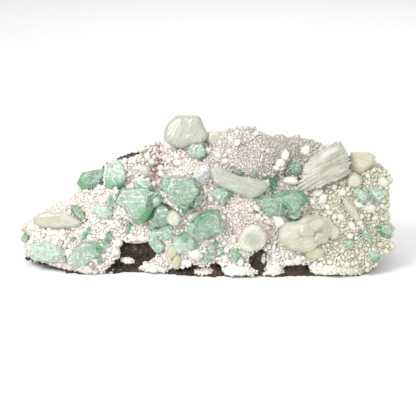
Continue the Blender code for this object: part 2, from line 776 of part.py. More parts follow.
def main():
    """Builds the rock, the crystals, the crust around them, and sets them on their base."""
    pieces, cutters = fresh_scene()
    coarse = rock_grid(slices=25, around=22)
    fine = rock_grid(slices=38, around=32)

    rock = object_from(skin(coarse, lambda p, n: 0.0), "basalt_matrix", pieces, BASALT)
    swollen = swell(skin(coarse, lambda p, n: 0.0), CLEARANCE)
    rock_clearance = object_from(swollen, "rock_clearance", cutters)
    crust_form = skin(fine, crust_offset, foot=CRUST_FOOT)
    crust = object_from(crust_form, "heulandite_crust", pieces, HEULANDITE)
    bm = bmesh.new()
    bm.from_mesh(crust.data)
    tree = BVHTree.FromBMesh(bm)
    bm.free()

    crystals, sockets = [], []
    for groups, shape, finish in (
        (PLATE_GROUPS, plate_bmesh, STILBITE), (PRISM_GROUPS, prism_bmesh, APOPHYLLITE),
    ):
        for name, members in groups.items():
            tint = CLEAR_APOPHYLLITE if name == "apophyllite_clear" else finish
            crystals.append(group(name, members, shape, tree, 0, pieces, tint))
            sockets.append(group(f"socket_{name}", members, shape, tree, CLEARANCE, cutters))
    spheres = []
    for crystal in crystals:
        corners = [v.co.copy() for v in crystal.data.vertices]
        centre = sum(corners, Vector()) / len(corners)
        spheres.append((centre, max((c - centre).length for c in corners) * 0.7))
    lumps = []
    for lump in NAMED_LUMPS:
        at = seat(tree, lump.across, lump.up, 0.3, None)
        lumps.append(
            object_from(lump_bmesh(at, TOWARD, lump.wide * MM, lump.high * MM, lump.lean), "lump", cutters)
        )
        spheres.append((at, lump.wide * 0.6 * MM))
    lumps += scatter_lumps(coarse, spheres, cutters)

    combine(crust, lumps, "UNION")
    combine(crust, [rock_clearance, *sockets], "DIFFERENCE")
    keep_largest(crust)

    for i, crystal in enumerate(crystals):
        earlier = [s for s in sockets[:i] if not apart(crystal, s, 0)]
        combine(crystal, earlier + [rock_clearance], "DIFFERENCE")
        keep_largest(crystal)

    for obj in list(cutters.objects):
        bpy.data.objects.remove(obj)
    bpy.data.collections.remove(cutters)
    foot = stand_on_middle([rock, crust, *crystals])
    print("middle of the foot, mm:", [round(c / MM, 2) for c in foot])


if __name__ == "__main__":
    main()
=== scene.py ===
"""Green apophyllite and cream stilbite on a druse of white heulandite, over broken basalt.

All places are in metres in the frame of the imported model: +X runs to the viewer's right, +Y away
from the viewer and +Z up. A crystal's across and up are millimetres in the picture plane, which
faces the viewer's eye, and its y is its depth in millimetres.
"""

import logging
import math
import random
from collections.abc import Iterator, Sequence
from contextlib import contextmanager
from dataclasses import dataclass
from enum import Enum

import bmesh
import bpy
import numpy as np
from mathutils import Matrix, Vector, noise
from mathutils.bvhtree import BVHTree


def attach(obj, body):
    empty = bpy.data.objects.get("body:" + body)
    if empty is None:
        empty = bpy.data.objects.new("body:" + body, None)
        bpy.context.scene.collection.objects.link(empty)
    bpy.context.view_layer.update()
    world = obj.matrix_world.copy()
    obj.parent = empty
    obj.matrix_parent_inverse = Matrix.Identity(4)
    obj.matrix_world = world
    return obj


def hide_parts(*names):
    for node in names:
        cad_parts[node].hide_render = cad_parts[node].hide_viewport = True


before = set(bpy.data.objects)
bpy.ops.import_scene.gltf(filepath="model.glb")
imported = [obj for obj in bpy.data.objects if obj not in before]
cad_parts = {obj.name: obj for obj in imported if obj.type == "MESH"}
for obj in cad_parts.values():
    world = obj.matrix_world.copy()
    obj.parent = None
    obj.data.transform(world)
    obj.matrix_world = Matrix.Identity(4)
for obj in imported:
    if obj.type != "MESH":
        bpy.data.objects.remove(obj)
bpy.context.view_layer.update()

MM = 0.001
MERGE = 1e-5
SAW_SLACK = 1e-7
OFF_FLOOR = 0.25 * MM
SMOOTH_ANGLE = math.radians(40)
LOG = logging.getLogger("specimen")

Colour = tuple[float, float, float]
Place = tuple[float, float, float]
Rim = tuple[tuple[float, float], ...]
Copy = tuple[int, Matrix, tuple[float, float]]


class Mineral(Enum):
    """The minerals that the pieces are made of."""

    BASALT = "basalt"
    HEULANDITE = "heulandite"
    APOPHYLLITE = "apophyllite"
    CLEAR = "clear_apophyllite"
    STILBITE = "stilbite"


def tint(red: float, green: float, blue: float) -> Colour:
    """Turns a colour as a screen shows it, 0 to 255, into linear light.

    Args:
        red: The red of the colour.
        green: The green of the colour.
        blue: The blue of the colour.

    Returns:
        The colour as linear red, green and blue, 0 to 1.
    """

    def linear(level: float) -> float:
        """One channel in linear light."""
        share = level / 255
        return share / 12.92 if share <= 0.04045 else ((share + 0.055) / 1.055) ** 2.4

    return linear(red), linear(green), linear(blue)


# ---------------------------------------------------------------- the view


@dataclass(frozen=True)
class View:
    """The viewer's eye, and the picture plane that the crystals' places are measured in."""

    tilt: float = 20.0
    distance: float = 608.0
    foot: Place = (1.16, -33.03, 0.0)
    aim_across: float = 0.5
    aim_up: float = 36.0
    lens: float = 100.0

    @property
    def across(self) -> Vector:
        """The direction to the viewer's right."""
        return Vector((1, 0, 0))

    @property
    def away(self) -> Vector:
        """The direction that the viewer looks in."""
        angle = math.radians(self.tilt)
        return Vector((0, math.cos(angle), -math.sin(angle)))

    @property
    def up(self) -> Vector:
        """The direction that is up in the picture."""
        angle = math.radians(self.tilt)
        return Vector((0, math.sin(angle), math.cos(angle)))

    @property
    def eye(self) -> Vector:
        """Where the viewer's eye is."""
        aim = self.across * self.aim_across + self.up * self.aim_up
        return (Vector(self.foot) + aim - self.away * self.distance) * MM

    def place(self, across: float, up: float, y: float) -> Vector:
        """Finds the point that shows at a place in the picture, at a depth.

        Args:
            across: Millimetres to the right of the plane's foot.
            up: Millimetres above the plane's foot.
            y: The point's depth in millimetres.

        Returns:
            The point, in metres.
        """
        on_plane = (Vector(self.foot) + self.across * across + self.up * up) * MM
        sight = (on_plane - self.eye).normalized()
        return self.eye + sight * ((y * MM - self.eye.y) / sight.y)

    def spot(self, point: Vector) -> tuple[float, float]:
        """Finds where a point shows in the picture.

        Args:
            point: The point, in metres.

        Returns:
            Millimetres across and up in the picture plane.
        """
        sight = point - self.eye
        reach = self.distance * MM / sight.dot(self.away)
        on_plane = self.eye + sight * reach - Vector(self.foot) * MM
        return on_plane.dot(self.across) / MM, on_plane.dot(self.up) / MM

    def prism_frame(self, lean: float, toward: float, roll: float) -> Matrix:
        """Turns a prism's own Z to its long axis.

        Args:
            lean: Degrees round in the picture plane, from the right.
            toward: Degrees that the far end tips to the viewer.
            roll: Degrees about the long axis.

        Returns:
            The turning matrix.
        """
        a, t = math.radians(lean), math.radians(toward)
        flat = self.across * math.cos(a) + self.up * math.sin(a)
        axis = flat * math.cos(t) - self.away * math.sin(t)
        side = axis.cross(-self.away).normalized()
        face = side.cross(axis).normalized()
        turn = Matrix((side, -face, axis)).transposed().to_4x4()
        return turn @ Matrix.Rotation(math.radians(roll), 4, "Z")

    def plate_frame(self, turn: float, nod: float) -> Matrix:
        """Turns a plate that faces the viewer about the upright and then the horizontal.

        Args:
            turn: Degrees about the upright of the picture.
            nod: Degrees about the horizontal.

        Returns:
            The turning matrix.
        """
        facing = Matrix((self.across, self.up, -self.away)).transposed().to_4x4()
        swing = Matrix.Rotation(math.radians(turn), 4, "Y")
        return facing @ swing @ Matrix.Rotation(math.radians(nod), 4, "X")


VIEW = View()


# ---------------------------------------------------------------- hand tools


def hold(*objects: bpy.types.Object) -> None:
    """Selects these objects and nothing else, the first of them active."""
    bpy.ops.object.select_all(action="DESELECT")
    for obj in objects:
        obj.select_set(True)
    bpy.context.view_layer.objects.active = objects[0]


@contextmanager
def at_the_mesh(obj: bpy.types.Object) -> Iterator[None]:
    """Opens one object in edit mode with all of it selected, and closes it again."""
    hold(obj)
    bpy.ops.object.mode_set(mode="EDIT")
    bpy.ops.mesh.select_all(action="SELECT")
    yield
    bpy.ops.object.mode_set(mode="OBJECT")


def block(name: str, size: Place) -> bpy.types.Object:
    """Adds a block about the origin.

    Args:
        name: The object's name.
        size: Its sides in metres.

    Returns:
        The block.
    """
    bpy.ops.object.select_all(action="DESELECT")
    bpy.ops.mesh.primitive_cube_add(size=1, location=(0, 0, 0))
    made = bpy.context.object
    made.name = made.data.name = name
    made.scale = size
    settle(made)
    return made


def settle(obj: bpy.types.Object, place: Matrix | None = None) -> None:
    """Moves an object by a matrix and puts its place into its mesh.

    Args:
        obj: The object.
        place: The matrix, or None to apply what the object has.
    """
    if place is not None:
        obj.matrix_world = place @ obj.matrix_world
    hold(obj)
    bpy.ops.object.transform_apply(location=True, rotation=True, scale=True)


def saw(point: Vector, normal: Vector) -> None:
    """Cuts away what lies past a plane of the open mesh, and closes the cut."""
    bpy.ops.mesh.select_all(action="SELECT")
    bpy.ops.mesh.bisect(
        plane_co=point, plane_no=normal, use_fill=True, clear_outer=True, threshold=SAW_SLACK
    )


def finish_with(obj: bpy.types.Object, kind: str, **settings: object) -> None:
    """Adds a modifier to an object and applies it.

    Args:
        obj: The object.
        kind: The modifier's type.
        **settings: Its settings.
    """
    hold(obj)
    modifier = obj.modifiers.new("finish", kind)
    for key, value in settings.items():
        setattr(modifier, key, value)
    bpy.ops.object.modifier_apply(modifier=modifier.name)


def weld(body: bpy.types.Object, others: Sequence[bpy.types.Object]) -> None:
    """Joins other solids to a body as one closed solid, and removes them."""
    if not others:
        return
    together = bpy.data.collections.new("together")
    for other in others:
        together.objects.link(other)
    finish_with(
        body, "BOOLEAN", operation="UNION", solver="EXACT",
        operand_type="COLLECTION", collection=together,
    )
    bpy.data.collections.remove(together)
    for other in others:
        bpy.data.objects.remove(other)


def join(body: bpy.types.Object, others: Sequence[bpy.types.Object]) -> bpy.types.Object:
    """Puts several meshes in one object, shell beside shell."""
    hold(body, *others)
    bpy.ops.object.join()
    return body


def copy_of(node: str, name: str) -> bpy.types.Object:
    """Copies a CAD node's mesh to a new object and merges its loose triangles.

    Args:
        node: The node's name.
        name: The new object's name.

    Returns:
        The copy.
    """
    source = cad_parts[node]
    mesh = source.data.copy()
    mesh.name = name
    mesh.materials.clear()
    made = bpy.data.objects.new(name, mesh)
    bpy.context.scene.collection.objects.link(made)
    with at_the_mesh(made):
        bpy.ops.mesh.remove_doubles(threshold=MERGE)
    return made


def cloudy(name: str, size: float, depth: int = 2) -> bpy.types.Texture:
    """A cloud texture for displacement, with lumps of a size in metres."""
    made = bpy.data.textures.new(name, "CLOUDS")
    made.noise_scale = size
    made.noise_depth = depth
    return made


@dataclass
class Form:
    """One small closed shape that is copied many times."""

    points: np.ndarray
    faces: list[tuple[int, ...]]

    @classmethod
    def of(cls, obj: bpy.types.Object) -> "Form":
        """Takes an object's mesh as a form, and removes the object."""
        points = np.array([v.co for v in obj.data.vertices])
        faces = [tuple(p.vertices) for p in obj.data.polygons]
        bpy.data.objects.remove(obj)
        return cls(points, faces)


def joined_copies(
    name: str,
    forms: Sequence[Form],
    copies: Sequence[Copy],
    attribute: str,
) -> bpy.types.Object:
    """Joins many placed copies of a few forms in one mesh.

    Args:
        name: The object's name.
        forms: The shapes.
        copies: For each copy, the form's number, its placing matrix and its two values.
        attribute: The vector attribute that takes each copy's two values. Its third is the
            height of the point in the copy, 0 to 1.

    Returns:
        The object.
    """
    points, values, corners, sizes = [], [], [], []
    first = 0
    for kind, place, (one, two) in copies:
        form = forms[kind]
        matrix = np.array(place)
        points.append(form.points @ matrix[:3, :3].T + matrix[:3, 3])
        low, high = form.points[:, 2].min(), form.points[:, 2].max()
        rise = (form.points[:, 2] - low) / (high - low)
        values.append(np.column_stack([np.full_like(rise, one), np.full_like(rise, two), rise]))
        for face in form.faces:
            corners += [first + i for i in face]
            sizes.append(len(face))
        first += len(form.points)
    mesh = bpy.data.meshes.new(name)
    mesh.vertices.add(first)
    mesh.vertices.foreach_set("co", np.concatenate(points).ravel())
    mesh.loops.add(len(corners))
    mesh.loops.foreach_set("vertex_index", corners)
    mesh.polygons.add(len(sizes))
    starts = np.concatenate([[0], np.cumsum(sizes)[:-1]])
    mesh.polygons.foreach_set("loop_start", starts.astype(np.int32))
    mesh.update(calc_edges=True)
    mesh.attributes.new(attribute, "FLOAT_VECTOR", "POINT")
    mesh.attributes[attribute].data.foreach_set("vector", np.concatenate(values).ravel())
    made = bpy.data.objects.new(name, mesh)
    bpy.context.scene.collection.objects.link(made)
    return made


def deliver(piece: bpy.types.Object, mineral: Mineral, finish: bpy.types.Material) -> None:
    """Dresses a finished piece, keeps it off the floor, and sets it on the specimen's body.

    Args:
        piece: The piece.
        mineral: The piece's mineral; all but basalt are kept off the floor.
        finish: Its material.
    """
    if mineral is not Mineral.BASALT:
        for vert in piece.data.vertices:
            vert.co.z = max(vert.co.z, OFF_FLOOR)
    piece.data.materials.clear()
    piece.data.materials.append(finish)
    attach(piece, "root")
    LOG.info("%s: %d faces", piece.name, len(piece.data.polygons))


# ---------------------------------------------------------------- finishes


class Wire:
    """A node's output that Python's arithmetic turns into Math nodes."""

    def __init__(self, bench: "Bench", socket: bpy.types.NodeSocket) -> None:
        """Wraps one output socket of a bench's tree."""
        self.bench = bench
        self.socket = socket

    def math(self, operation: str, *others: "Wire | float", swapped: bool = False) -> "Wire":
        """Adds one Math node.

        Args:
            operation: The node's operation.
            *others: The other values.
            swapped: Whether this wire comes last.

        Returns:
            The result.
        """
        values = [*others, self] if swapped else [self, *others]
        return self.bench.wire("ShaderNodeMath", {"operation": operation}, dict(enumerate(values)))

    def __add__(self, other: "Wire | float") -> "Wire":
        """This plus other."""
        return self.math("ADD", other)

    def __radd__(self, other: float) -> "Wire":
        """Other plus this."""
        return self.math("ADD", other)

    def __sub__(self, other: "Wire | float") -> "Wire":
        """This minus other."""
        return self.math("SUBTRACT", other)

    def __rsub__(self, other: float) -> "Wire":
        """Other minus this."""
        return self.math("SUBTRACT", other, swapped=True)

    def __mul__(self, other: "Wire | float") -> "Wire":
        """This times other."""
        return self.math("MULTIPLY", other)

    def __rmul__(self, other: float) -> "Wire":
        """Other times this."""
        return self.math("MULTIPLY", other)

    def most(self, other: "Wire | float") -> "Wire":
        """The larger of this and other."""
        return self.math("MAXIMUM", other)

    def least(self, other: "Wire | float") -> "Wire":
        """The smaller of this and other."""
        return self.math("MINIMUM", other)

    def between(self, low: float, high: float) -> "Wire":
        """Eases this from 0 at low to 1 at high."""
        return self.bench.wire(
            "ShaderNodeMapRange", {"interpolation_type": "SMOOTHSTEP"},
            {"Value": self, "From Min": low, "From Max": high},
        )


class Bench:
    """The node tree of one material, and the few kinds of node that the finishes use."""

    def __init__(self, name: str) -> None:
        """Makes an empty material."""
        self.material = bpy.data.materials.new(name)
        self.material.use_nodes = True
        self.tree = self.material.node_tree
        self.tree.nodes.clear()
        self.output = self.add("ShaderNodeOutputMaterial")
        self.object = self.wire("ShaderNodeTexCoord", output="Object")

    def add(
        self, kind: str, settings: dict | None = None, inputs: dict | None = None
    ) -> bpy.types.Node:
        """Adds one node.

        Args:
            kind: The node's type.
            settings: Its properties, set first.
            inputs: A value or a wire for each of its sockets.

        Returns:
            The node.
        """
        node = self.tree.nodes.new(kind)
        for key, value in (settings or {}).items():
            setattr(node, key, value)
        for key, value in (inputs or {}).items():
            self.plug(node.inputs[key], value)
        return node

    def plug(self, socket: bpy.types.NodeSocket, value: object) -> None:
        """Sets a socket to a value, or links a wire to it."""
        if isinstance(value, Wire):
            self.tree.links.new(value.socket, socket)
        elif socket.type == "RGBA":
            socket.default_value = (*value, 1)
        else:
            socket.default_value = value

    def wire(
        self, kind: str, settings: dict | None = None, inputs: dict | None = None,
        output: int | str = 0,
    ) -> Wire:
        """Adds one node and takes one of its outputs."""
        return Wire(self, self.add(kind, settings, inputs).outputs[output])

    def attribute(self, name: str) -> Wire:
        """A vector attribute of the piece's own."""
        return self.wire("ShaderNodeAttribute", {"attribute_name": name}, output="Vector")

    def parts(self, vector: Wire) -> tuple[Wire, Wire, Wire]:
        """The three numbers of a vector."""
        node = self.add("ShaderNodeSeparateXYZ", inputs={0: vector})
        return tuple(Wire(self, output) for output in node.outputs)

    def mapped(self, vector: Wire, scale: Place, turn: Place = (0, 0, 0)) -> Wire:
        """A vector scaled and turned, in degrees."""
        return self.wire(
            "ShaderNodeMapping", inputs={
                "Vector": vector, "Scale": scale,
                "Rotation": tuple(math.radians(angle) for angle in turn),
            },
        )

    def noise(
        self, scale: float, detail: float = 2.0, vector: Wire | None = None,
        rough: float = 0.5, twist: float = 0.0,
    ) -> Wire:
        """Noise of a scale, on the piece's place if no vector is given."""
        return self.wire(
            "ShaderNodeTexNoise", inputs={
                "Vector": vector or self.object, "Scale": scale, "Detail": detail,
                "Roughness": rough, "Distortion": twist,
            },
        )

    def cells(self, scale: float) -> Wire:
        """The distance to the nearest of many scattered points."""
        return self.wire(
            "ShaderNodeTexVoronoi", inputs={"Vector": self.object, "Scale": scale},
            output="Distance",
        )

    def mix(self, share: Wire | float, one: object, two: object) -> Wire:
        """Colour one turning into colour two by a share."""
        return self.wire("ShaderNodeMix", {"data_type": "RGBA"}, {0: share, 6: one, 7: two}, 2)

    def bump(self, height: Wire, depth: float, strength: float = 1.0) -> Wire:
        """Bumps of a depth in metres."""
        return self.wire(
            "ShaderNodeBump", inputs={"Strength": strength, "Distance": depth, "Height": height},
            output="Normal",
        )

    def surface(self, **inputs: object) -> Wire:
        """A Principled surface, its sockets named with _ for each space."""
        named = {key.replace("_", " "): value for key, value in inputs.items()}
        return self.wire("ShaderNodeBsdfPrincipled", inputs=named)

    def done(self, surface: Wire, volume: Wire | None = None) -> bpy.types.Material:
        """Links the surface, and what fills it, to the material's output."""
        self.plug(self.output.inputs["Surface"], surface)
        if volume:
            self.plug(self.output.inputs["Volume"], volume)
        return self.material


@dataclass(frozen=True)
class BasaltFinish:
    """Broken dark basalt with rusty and greenish patches and pale grains."""

    dark: Colour = tint(52, 42, 38)
    brown: Colour = tint(98, 82, 70)
    rust: Colour = tint(108, 80, 70)
    green: Colour = tint(88, 90, 76)
    speck: Colour = tint(205, 198, 188)
    crumb: Colour = tint(136, 118, 100)
    grain: float = 900.0
    relief: float = 1.1 * MM

    def dress(self) -> bpy.types.Material:
        """Makes the material."""
        b = Bench("basalt_finish")
        x, _, z = b.parts(b.object)
        grain = b.noise(self.grain, 5)
        blotch = b.noise(70, 4)
        colour = b.mix(blotch.between(0.4, 0.65), self.dark, self.brown)
        colour = b.mix(b.noise(45, 3).between(0.58, 0.7) * 0.6, colour, self.green)
        rusty = (x * -1.0).between(0.015, 0.035) * z.between(0.03, 0.048)
        rusty = (rusty * 0.75 + b.noise(30, 4).between(0.56, 0.7) * 0.7).least(1.0)
        colour = b.mix(rusty, colour, self.rust)
        colour = b.mix(grain.between(0.35, 0.7) * 0.5, colour, self.dark)
        specks = 1 - b.cells(420).between(0.05, 0.12)
        colour = b.mix(specks * b.noise(110, 2).between(0.5, 0.62) * 0.8, colour, self.speck)
        crumbs = b.noise(520, 5, rough=0.7).between(0.54, 0.66)
        colour = b.mix(crumbs * 0.75, colour, self.crumb)
        bumps = b.bump(grain + b.noise(250, 4) * 2.0, self.relief)
        return b.done(b.surface(Base_Color=colour, Roughness=0.72 + grain * 0.25, Normal=bumps))


@dataclass(frozen=True)
class DruseFinish:
    """Small glassy crystals: white, warmer in the middle, cream at the right, and grey on the dome
    as painted shade, darker still on the dome's right.
    """

    white: Colour = tint(251, 250, 247)
    warm: Colour = tint(243, 236, 226)
    # painted shade on the dome
    grey: Colour = tint(219, 215, 211)
    cream: Colour = tint(232, 232, 214)
    olive: Colour = tint(208, 209, 184)
    rose: Colour = tint(236, 214, 206)
    gap: Colour = tint(205, 193, 180)
    gap_right: Colour = tint(172, 170, 146)
    brown: Colour = tint(146, 118, 102)
    # painted shade, darker, for the right side of the dome
    shade: Colour = tint(180, 174, 168)
    relief: float = 0.12 * MM

    def region(self, b: Bench) -> tuple[Wire, Wire, Wire, Wire]:
        """How much of a point lies on the dome, on the right, at the foot and in the furrow."""
        x, _, z = b.parts(b.object)
        wander = b.noise(60, 3) * 0.02 - 0.01
        right = (x + wander).between(0.026, 0.056)
        dome = (x + wander).between(-0.004, 0.012) * (1 - (x + wander).between(0.055, 0.08))
        dome = dome * (z + wander * 0.5).between(0.036, 0.05)
        foot = 1 - (z + wander * 0.5).between(0.012, 0.026)
        foot = foot * (1 - (x - 0.02).math("ABSOLUTE").between(0.03, 0.06))
        off_x, off_z = (x + 0.0262) * 140.0, (z - 0.0525) * 75.0
        furrow = 1 - (off_x * off_x + off_z * off_z).between(0.3, 1.1)
        return dome, right, foot, furrow

    def dress(self) -> bpy.types.Material:
        """Makes the material."""
        b = Bench("druse_finish")
        tone, blush, rise = b.parts(b.attribute("grain"))
        dome, right, foot, furrow = self.region(b)
        patches = b.noise(110, 3).between(0.42, 0.62)
        colour = b.mix((blush * 0.5 + patches * 0.5).least(1.0), self.white, self.warm)
        # painted shade: the dome greyed
        colour = b.mix(dome * (0.4 + blush * 0.6), colour, self.grey)
        x, _, _ = b.parts(b.object)
        # painted shade: the right side of the dome darkened further
        colour = b.mix(dome * x.between(0.022, 0.046) * (0.6 + blush * 0.4), colour, self.shade)
        middle = x.between(-0.014, 0.004) * (1 - x.between(0.03, 0.046)) * (1 - foot)
        middle = middle * (1 - dome * 0.75)
        colour = b.mix(middle * (0.2 + blush * 0.4), colour, self.gap)
        cream = b.mix(blush, self.cream, self.olive)
        colour = b.mix(right * (1 - dome * 0.6) * 0.85, colour, cream)
        colour = b.mix(foot * 0.7, colour, self.white)
        colour = b.mix(furrow * (0.2 + blush * 0.6), colour, self.rose)
        gap = b.mix(right, self.gap, self.gap_right)
        gap = b.mix(furrow * 0.6, gap, self.brown)
        low = 1 - rise.between(0.05, 0.6)
        colour = b.mix(low * (0.3 + (1 - tone) * 0.4), colour, gap)
        colour = b.mix((1 - tone) * (1 - tone) * 0.3, colour, gap)
        bumps = b.bump(b.noise(2600, 2), self.relief, 0.5)
        return b.done(
            b.surface(
                Base_Color=colour, Roughness=0.22 + b.noise(700, 2) * 0.3, Normal=bumps,
                Coat_Weight=0.25, Coat_Roughness=0.15,
            )
        )


@dataclass(frozen=True)
class BedFinish:
    """The ground between the crystals: tan on the left, olive on the right, and grey on the dome as
    painted shade.
    """

    tan: Colour = tint(216, 203, 190)
    brown: Colour = tint(176, 156, 140)
    # painted shade on the dome
    grey: Colour = tint(160, 148, 142)
    olive: Colour = tint(176, 172, 146)
    relief: float = 0.5 * MM

    def dress(self) -> bpy.types.Material:
        """Makes the material."""
        b = Bench("bed_finish")
        dome, right, _, furrow = DruseFinish().region(b)
        colour = b.mix(b.noise(160, 4).between(0.42, 0.6), self.tan, self.brown)
        # painted shade: the ground greyed on the dome
        colour = b.mix(dome * 0.7, colour, self.grey)
        colour = b.mix(right * 0.8, colour, self.olive)
        colour = b.mix(furrow * 0.8, colour, DruseFinish.brown)
        fine = b.cells(900)
        glint = (1 - fine.between(0.1, 0.5)) * 0.5 * (1 - furrow)
        colour = b.mix(glint, colour, DruseFinish.white)
        bare, _, _ = b.parts(b.attribute("bare"))
        stone = b.mix(b.noise(500, 4).between(0.4, 0.6), BasaltFinish.dark, BasaltFinish.rust)
        colour = b.mix(bare, colour, stone)
        bumps = b.bump(fine + b.noise(1400, 3), self.relief, 0.8)
        return b.done(b.surface(Base_Color=colour, Roughness=0.5 + fine * 0.3, Normal=bumps))


@dataclass(frozen=True)
class ApophylliteFinish:
    """Mint green glassy crystal, cloudy inside, deeper towards one end, with painted highlights:
    pale edge facets, and white veils that are partly highlight streaks.

    fill and density are what its volume absorbs, and milk how far its own cloudiness counts.
    """

    name: str = "apophyllite_finish"
    pale: Colour = tint(216, 237, 221)
    mint: Colour = tint(169, 210, 178)
    deep: Colour = tint(130, 194, 142)
    # white of the veils inside, partly a painted highlight
    veil_and_highlight: Colour = tint(250, 253, 250)
    clear_pale: Colour = tint(250, 255, 251)
    clear_deep: Colour = tint(170, 228, 182)
    fill: Colour = (0.6, 0.88, 0.68)
    density: float = 34.0
    index: float = 1.535
    milk: float = 0.82
    relief: float = 0.3 * MM

    def dress(self) -> bpy.types.Material:
        """Makes the material."""
        b = Bench(self.name)
        growth = b.attribute("growth")
        along, green, milk = b.parts(b.attribute("habit"))
        cloud = b.noise(0.13, 3, growth)
        mottle = b.noise(0.55, 5, growth, 0.62, 0.6)
        bars = b.noise(0.9, 3, b.mapped(growth, (0.22, 1.4, 0.5), (0, 0, 32)), 0.6, 0.5)
        threads = b.noise(2.2, 3, b.mapped(growth, (1.2, 0.16, 0.5), (0, 0, 24)), 0.6, 0.4)
        deep = (along + cloud * 0.7 - 0.35).between(0.5, 0.9)
        depth = (green + cloud * 1.2 - 0.6 + mottle * 0.3 - 0.15).between(0.05, 0.95)
        body = b.mix(depth, self.pale, self.mint)
        body = b.mix(deep, body, self.deep)
        # white veils: partly real cloudiness inside, partly painted highlight streaks
        veil_and_highlight = bars.between(0.5, 0.62) * 0.8 + threads.between(0.57, 0.66) * 0.4
        veil_and_highlight = (veil_and_highlight * mottle.between(0.4, 0.58)).least(1.0) * (1 - deep * 0.6)
        veil_and_highlight = veil_and_highlight * (1 - green * 0.45).most(0.0)
        body = b.mix(veil_and_highlight * 0.66, body, self.veil_and_highlight)
        body = b.mix((1 - mottle.between(0.34, 0.46)) * 0.2, body, self.deep)
        tinted = (deep + green * 0.3 + mottle * 0.3 - 0.15).least(1.0).most(0.0)
        glass = b.mix(tinted, self.clear_pale, self.clear_deep)
        streaks = b.noise(1.6, 3, b.mapped(growth, (0.3, 1.6, 0.5), (0, 0, 32)))
        bumps = b.bump(streaks + mottle * 0.5, self.relief, 0.6)
        rough = 0.04 + mottle.between(0.45, 0.7) * 0.14
        clear = b.surface(
            Base_Color=glass, Roughness=rough, IOR=self.index, Transmission_Weight=1.0,
            Normal=bumps,
        )
        milky = b.surface(
            Base_Color=body, Roughness=rough, IOR=self.index, Normal=bumps,
            Coat_Weight=0.9, Coat_Roughness=0.04,
        )
        share = milk * self.milk + veil_and_highlight * 0.5 + (mottle - 0.5) * 0.8 + (cloud - 0.5) * 0.5
        share = share.most(0.06).least(0.95)
        mixed = b.wire("ShaderNodeMixShader", inputs={0: share, 1: clear, 2: milky})
        fill = b.wire(
            "ShaderNodeVolumeAbsorption", inputs={"Color": self.fill, "Density": self.density}
        )
        return b.done(mixed, fill)


@dataclass(frozen=True)
class StilbiteFinish:
    """Pearly cream stilbite with fine lengthwise striations, yellower and greyer in patches."""

    name: str = "stilbite_finish"
    cream: Colour = tint(194, 193, 170)
    pale: Colour = tint(220, 220, 206)
    yellow: Colour = tint(204, 196, 158)
    grey: Colour = tint(172, 177, 160)
    gleam: Colour = tint(248, 249, 243)
    relief: float = 0.6 * MM
    glow_depth: float = 2.0 * MM

    def dress(self) -> bpy.types.Material:
        """Makes the material."""
        b = Bench(self.name)
        strand = b.attribute("strand")
        greyed, yellowed, _ = b.parts(b.attribute("cast"))
        streak = b.noise(1.3, 4, b.mapped(strand, (0.12, 1.0, 0.6)), 0.6)
        hair = b.noise(3.2, 3, b.mapped(strand, (0.06, 1.0, 0.8)), 0.6)
        broad = b.noise(0.12, 3, b.mapped(strand, (0.6, 1.0, 1.0)))
        mottle = b.noise(0.45, 4, strand, 0.6)
        colour = b.mix(broad.between(0.4, 0.62), self.cream, self.pale)
        yellow = (b.noise(0.2, 2, strand).between(0.55, 0.7) * 0.4 + yellowed).least(1.0)
        colour = b.mix(yellow, colour, self.yellow)
        colour = b.mix((mottle.between(0.45, 0.68) * 0.45 + greyed).least(1.0), colour, self.grey)
        colour = b.mix(streak.between(0.54, 0.66) * 0.4, colour, self.pale)
        colour = b.mix((1 - streak.between(0.32, 0.46)) * 0.25, colour, self.grey)
        sheen = mottle.between(0.46, 0.66) * streak.between(0.44, 0.66)
        colour = b.mix(sheen * 0.4, colour, self.gleam)
        bumps = b.bump(streak + hair * 0.7 + mottle, self.relief, 0.8)
        return b.done(
            b.surface(
                Base_Color=colour, Roughness=0.2 + mottle * 0.2, Normal=bumps,
                Coat_Weight=0.7, Coat_Roughness=0.08,
                Subsurface_Weight=0.12, Subsurface_Radius=(1.0, 0.9, 0.7),
                Subsurface_Scale=self.glow_depth,
            )
        )


# ---------------------------------------------------------------- rock and crust


@dataclass
class BasaltBase:
    """The broken block of basalt under the crust.

    relief gives, for each pass of lumps, their size and height in millimetres. pits is how far
    apart the gas holes are, and pit_share how wide each is, as a share of that.
    """

    voxel: float = 1.0 * MM
    foot: float = 1.0 * MM
    pits: float = 4.6 * MM
    pit_share: float = 0.34
    pit_depth: float = 1.5 * MM
    relief: tuple[tuple[float, float], ...] = ((8.0, 2.2), (2.6, 2.4), (1.0, 1.2))

    def pit(self, rock: bpy.types.Object) -> None:
        """Sinks small gas holes into the broken faces.

        Args:
            rock: The roughened block.
        """
        mesh = rock.data
        normals = [vert.normal.copy() for vert in mesh.vertices]
        for vert, normal in zip(mesh.vertices, normals):
            cells = noise.voronoi(vert.co / self.pits)[0]
            sunk = max(0.0, 1 - cells[0] / self.pit_share)
            vert.co = vert.co - normal * sunk * self.pit_depth

    def build(self, finish: bpy.types.Material) -> None:
        """Roughens a copy of the block, and keeps its foot flat.

        Args:
            finish: The basalt's material.
        """
        rock = copy_of("basalt_matrix", "basalt_block")
        finish_with(rock, "REMESH", mode="VOXEL", voxel_size=self.voxel)
        for size, depth in self.relief:
            finish_with(
                rock, "DISPLACE", texture=cloudy("rock", size * MM, 3), texture_coords="LOCAL",
                strength=depth * MM, mid_level=0.85,
            )
        self.pit(rock)
        for vert in rock.data.vertices:
            if vert.co.z < self.foot:
                vert.co.z = 0.0
        deliver(rock, Mineral.BASALT, finish)
        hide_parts("basalt_matrix")


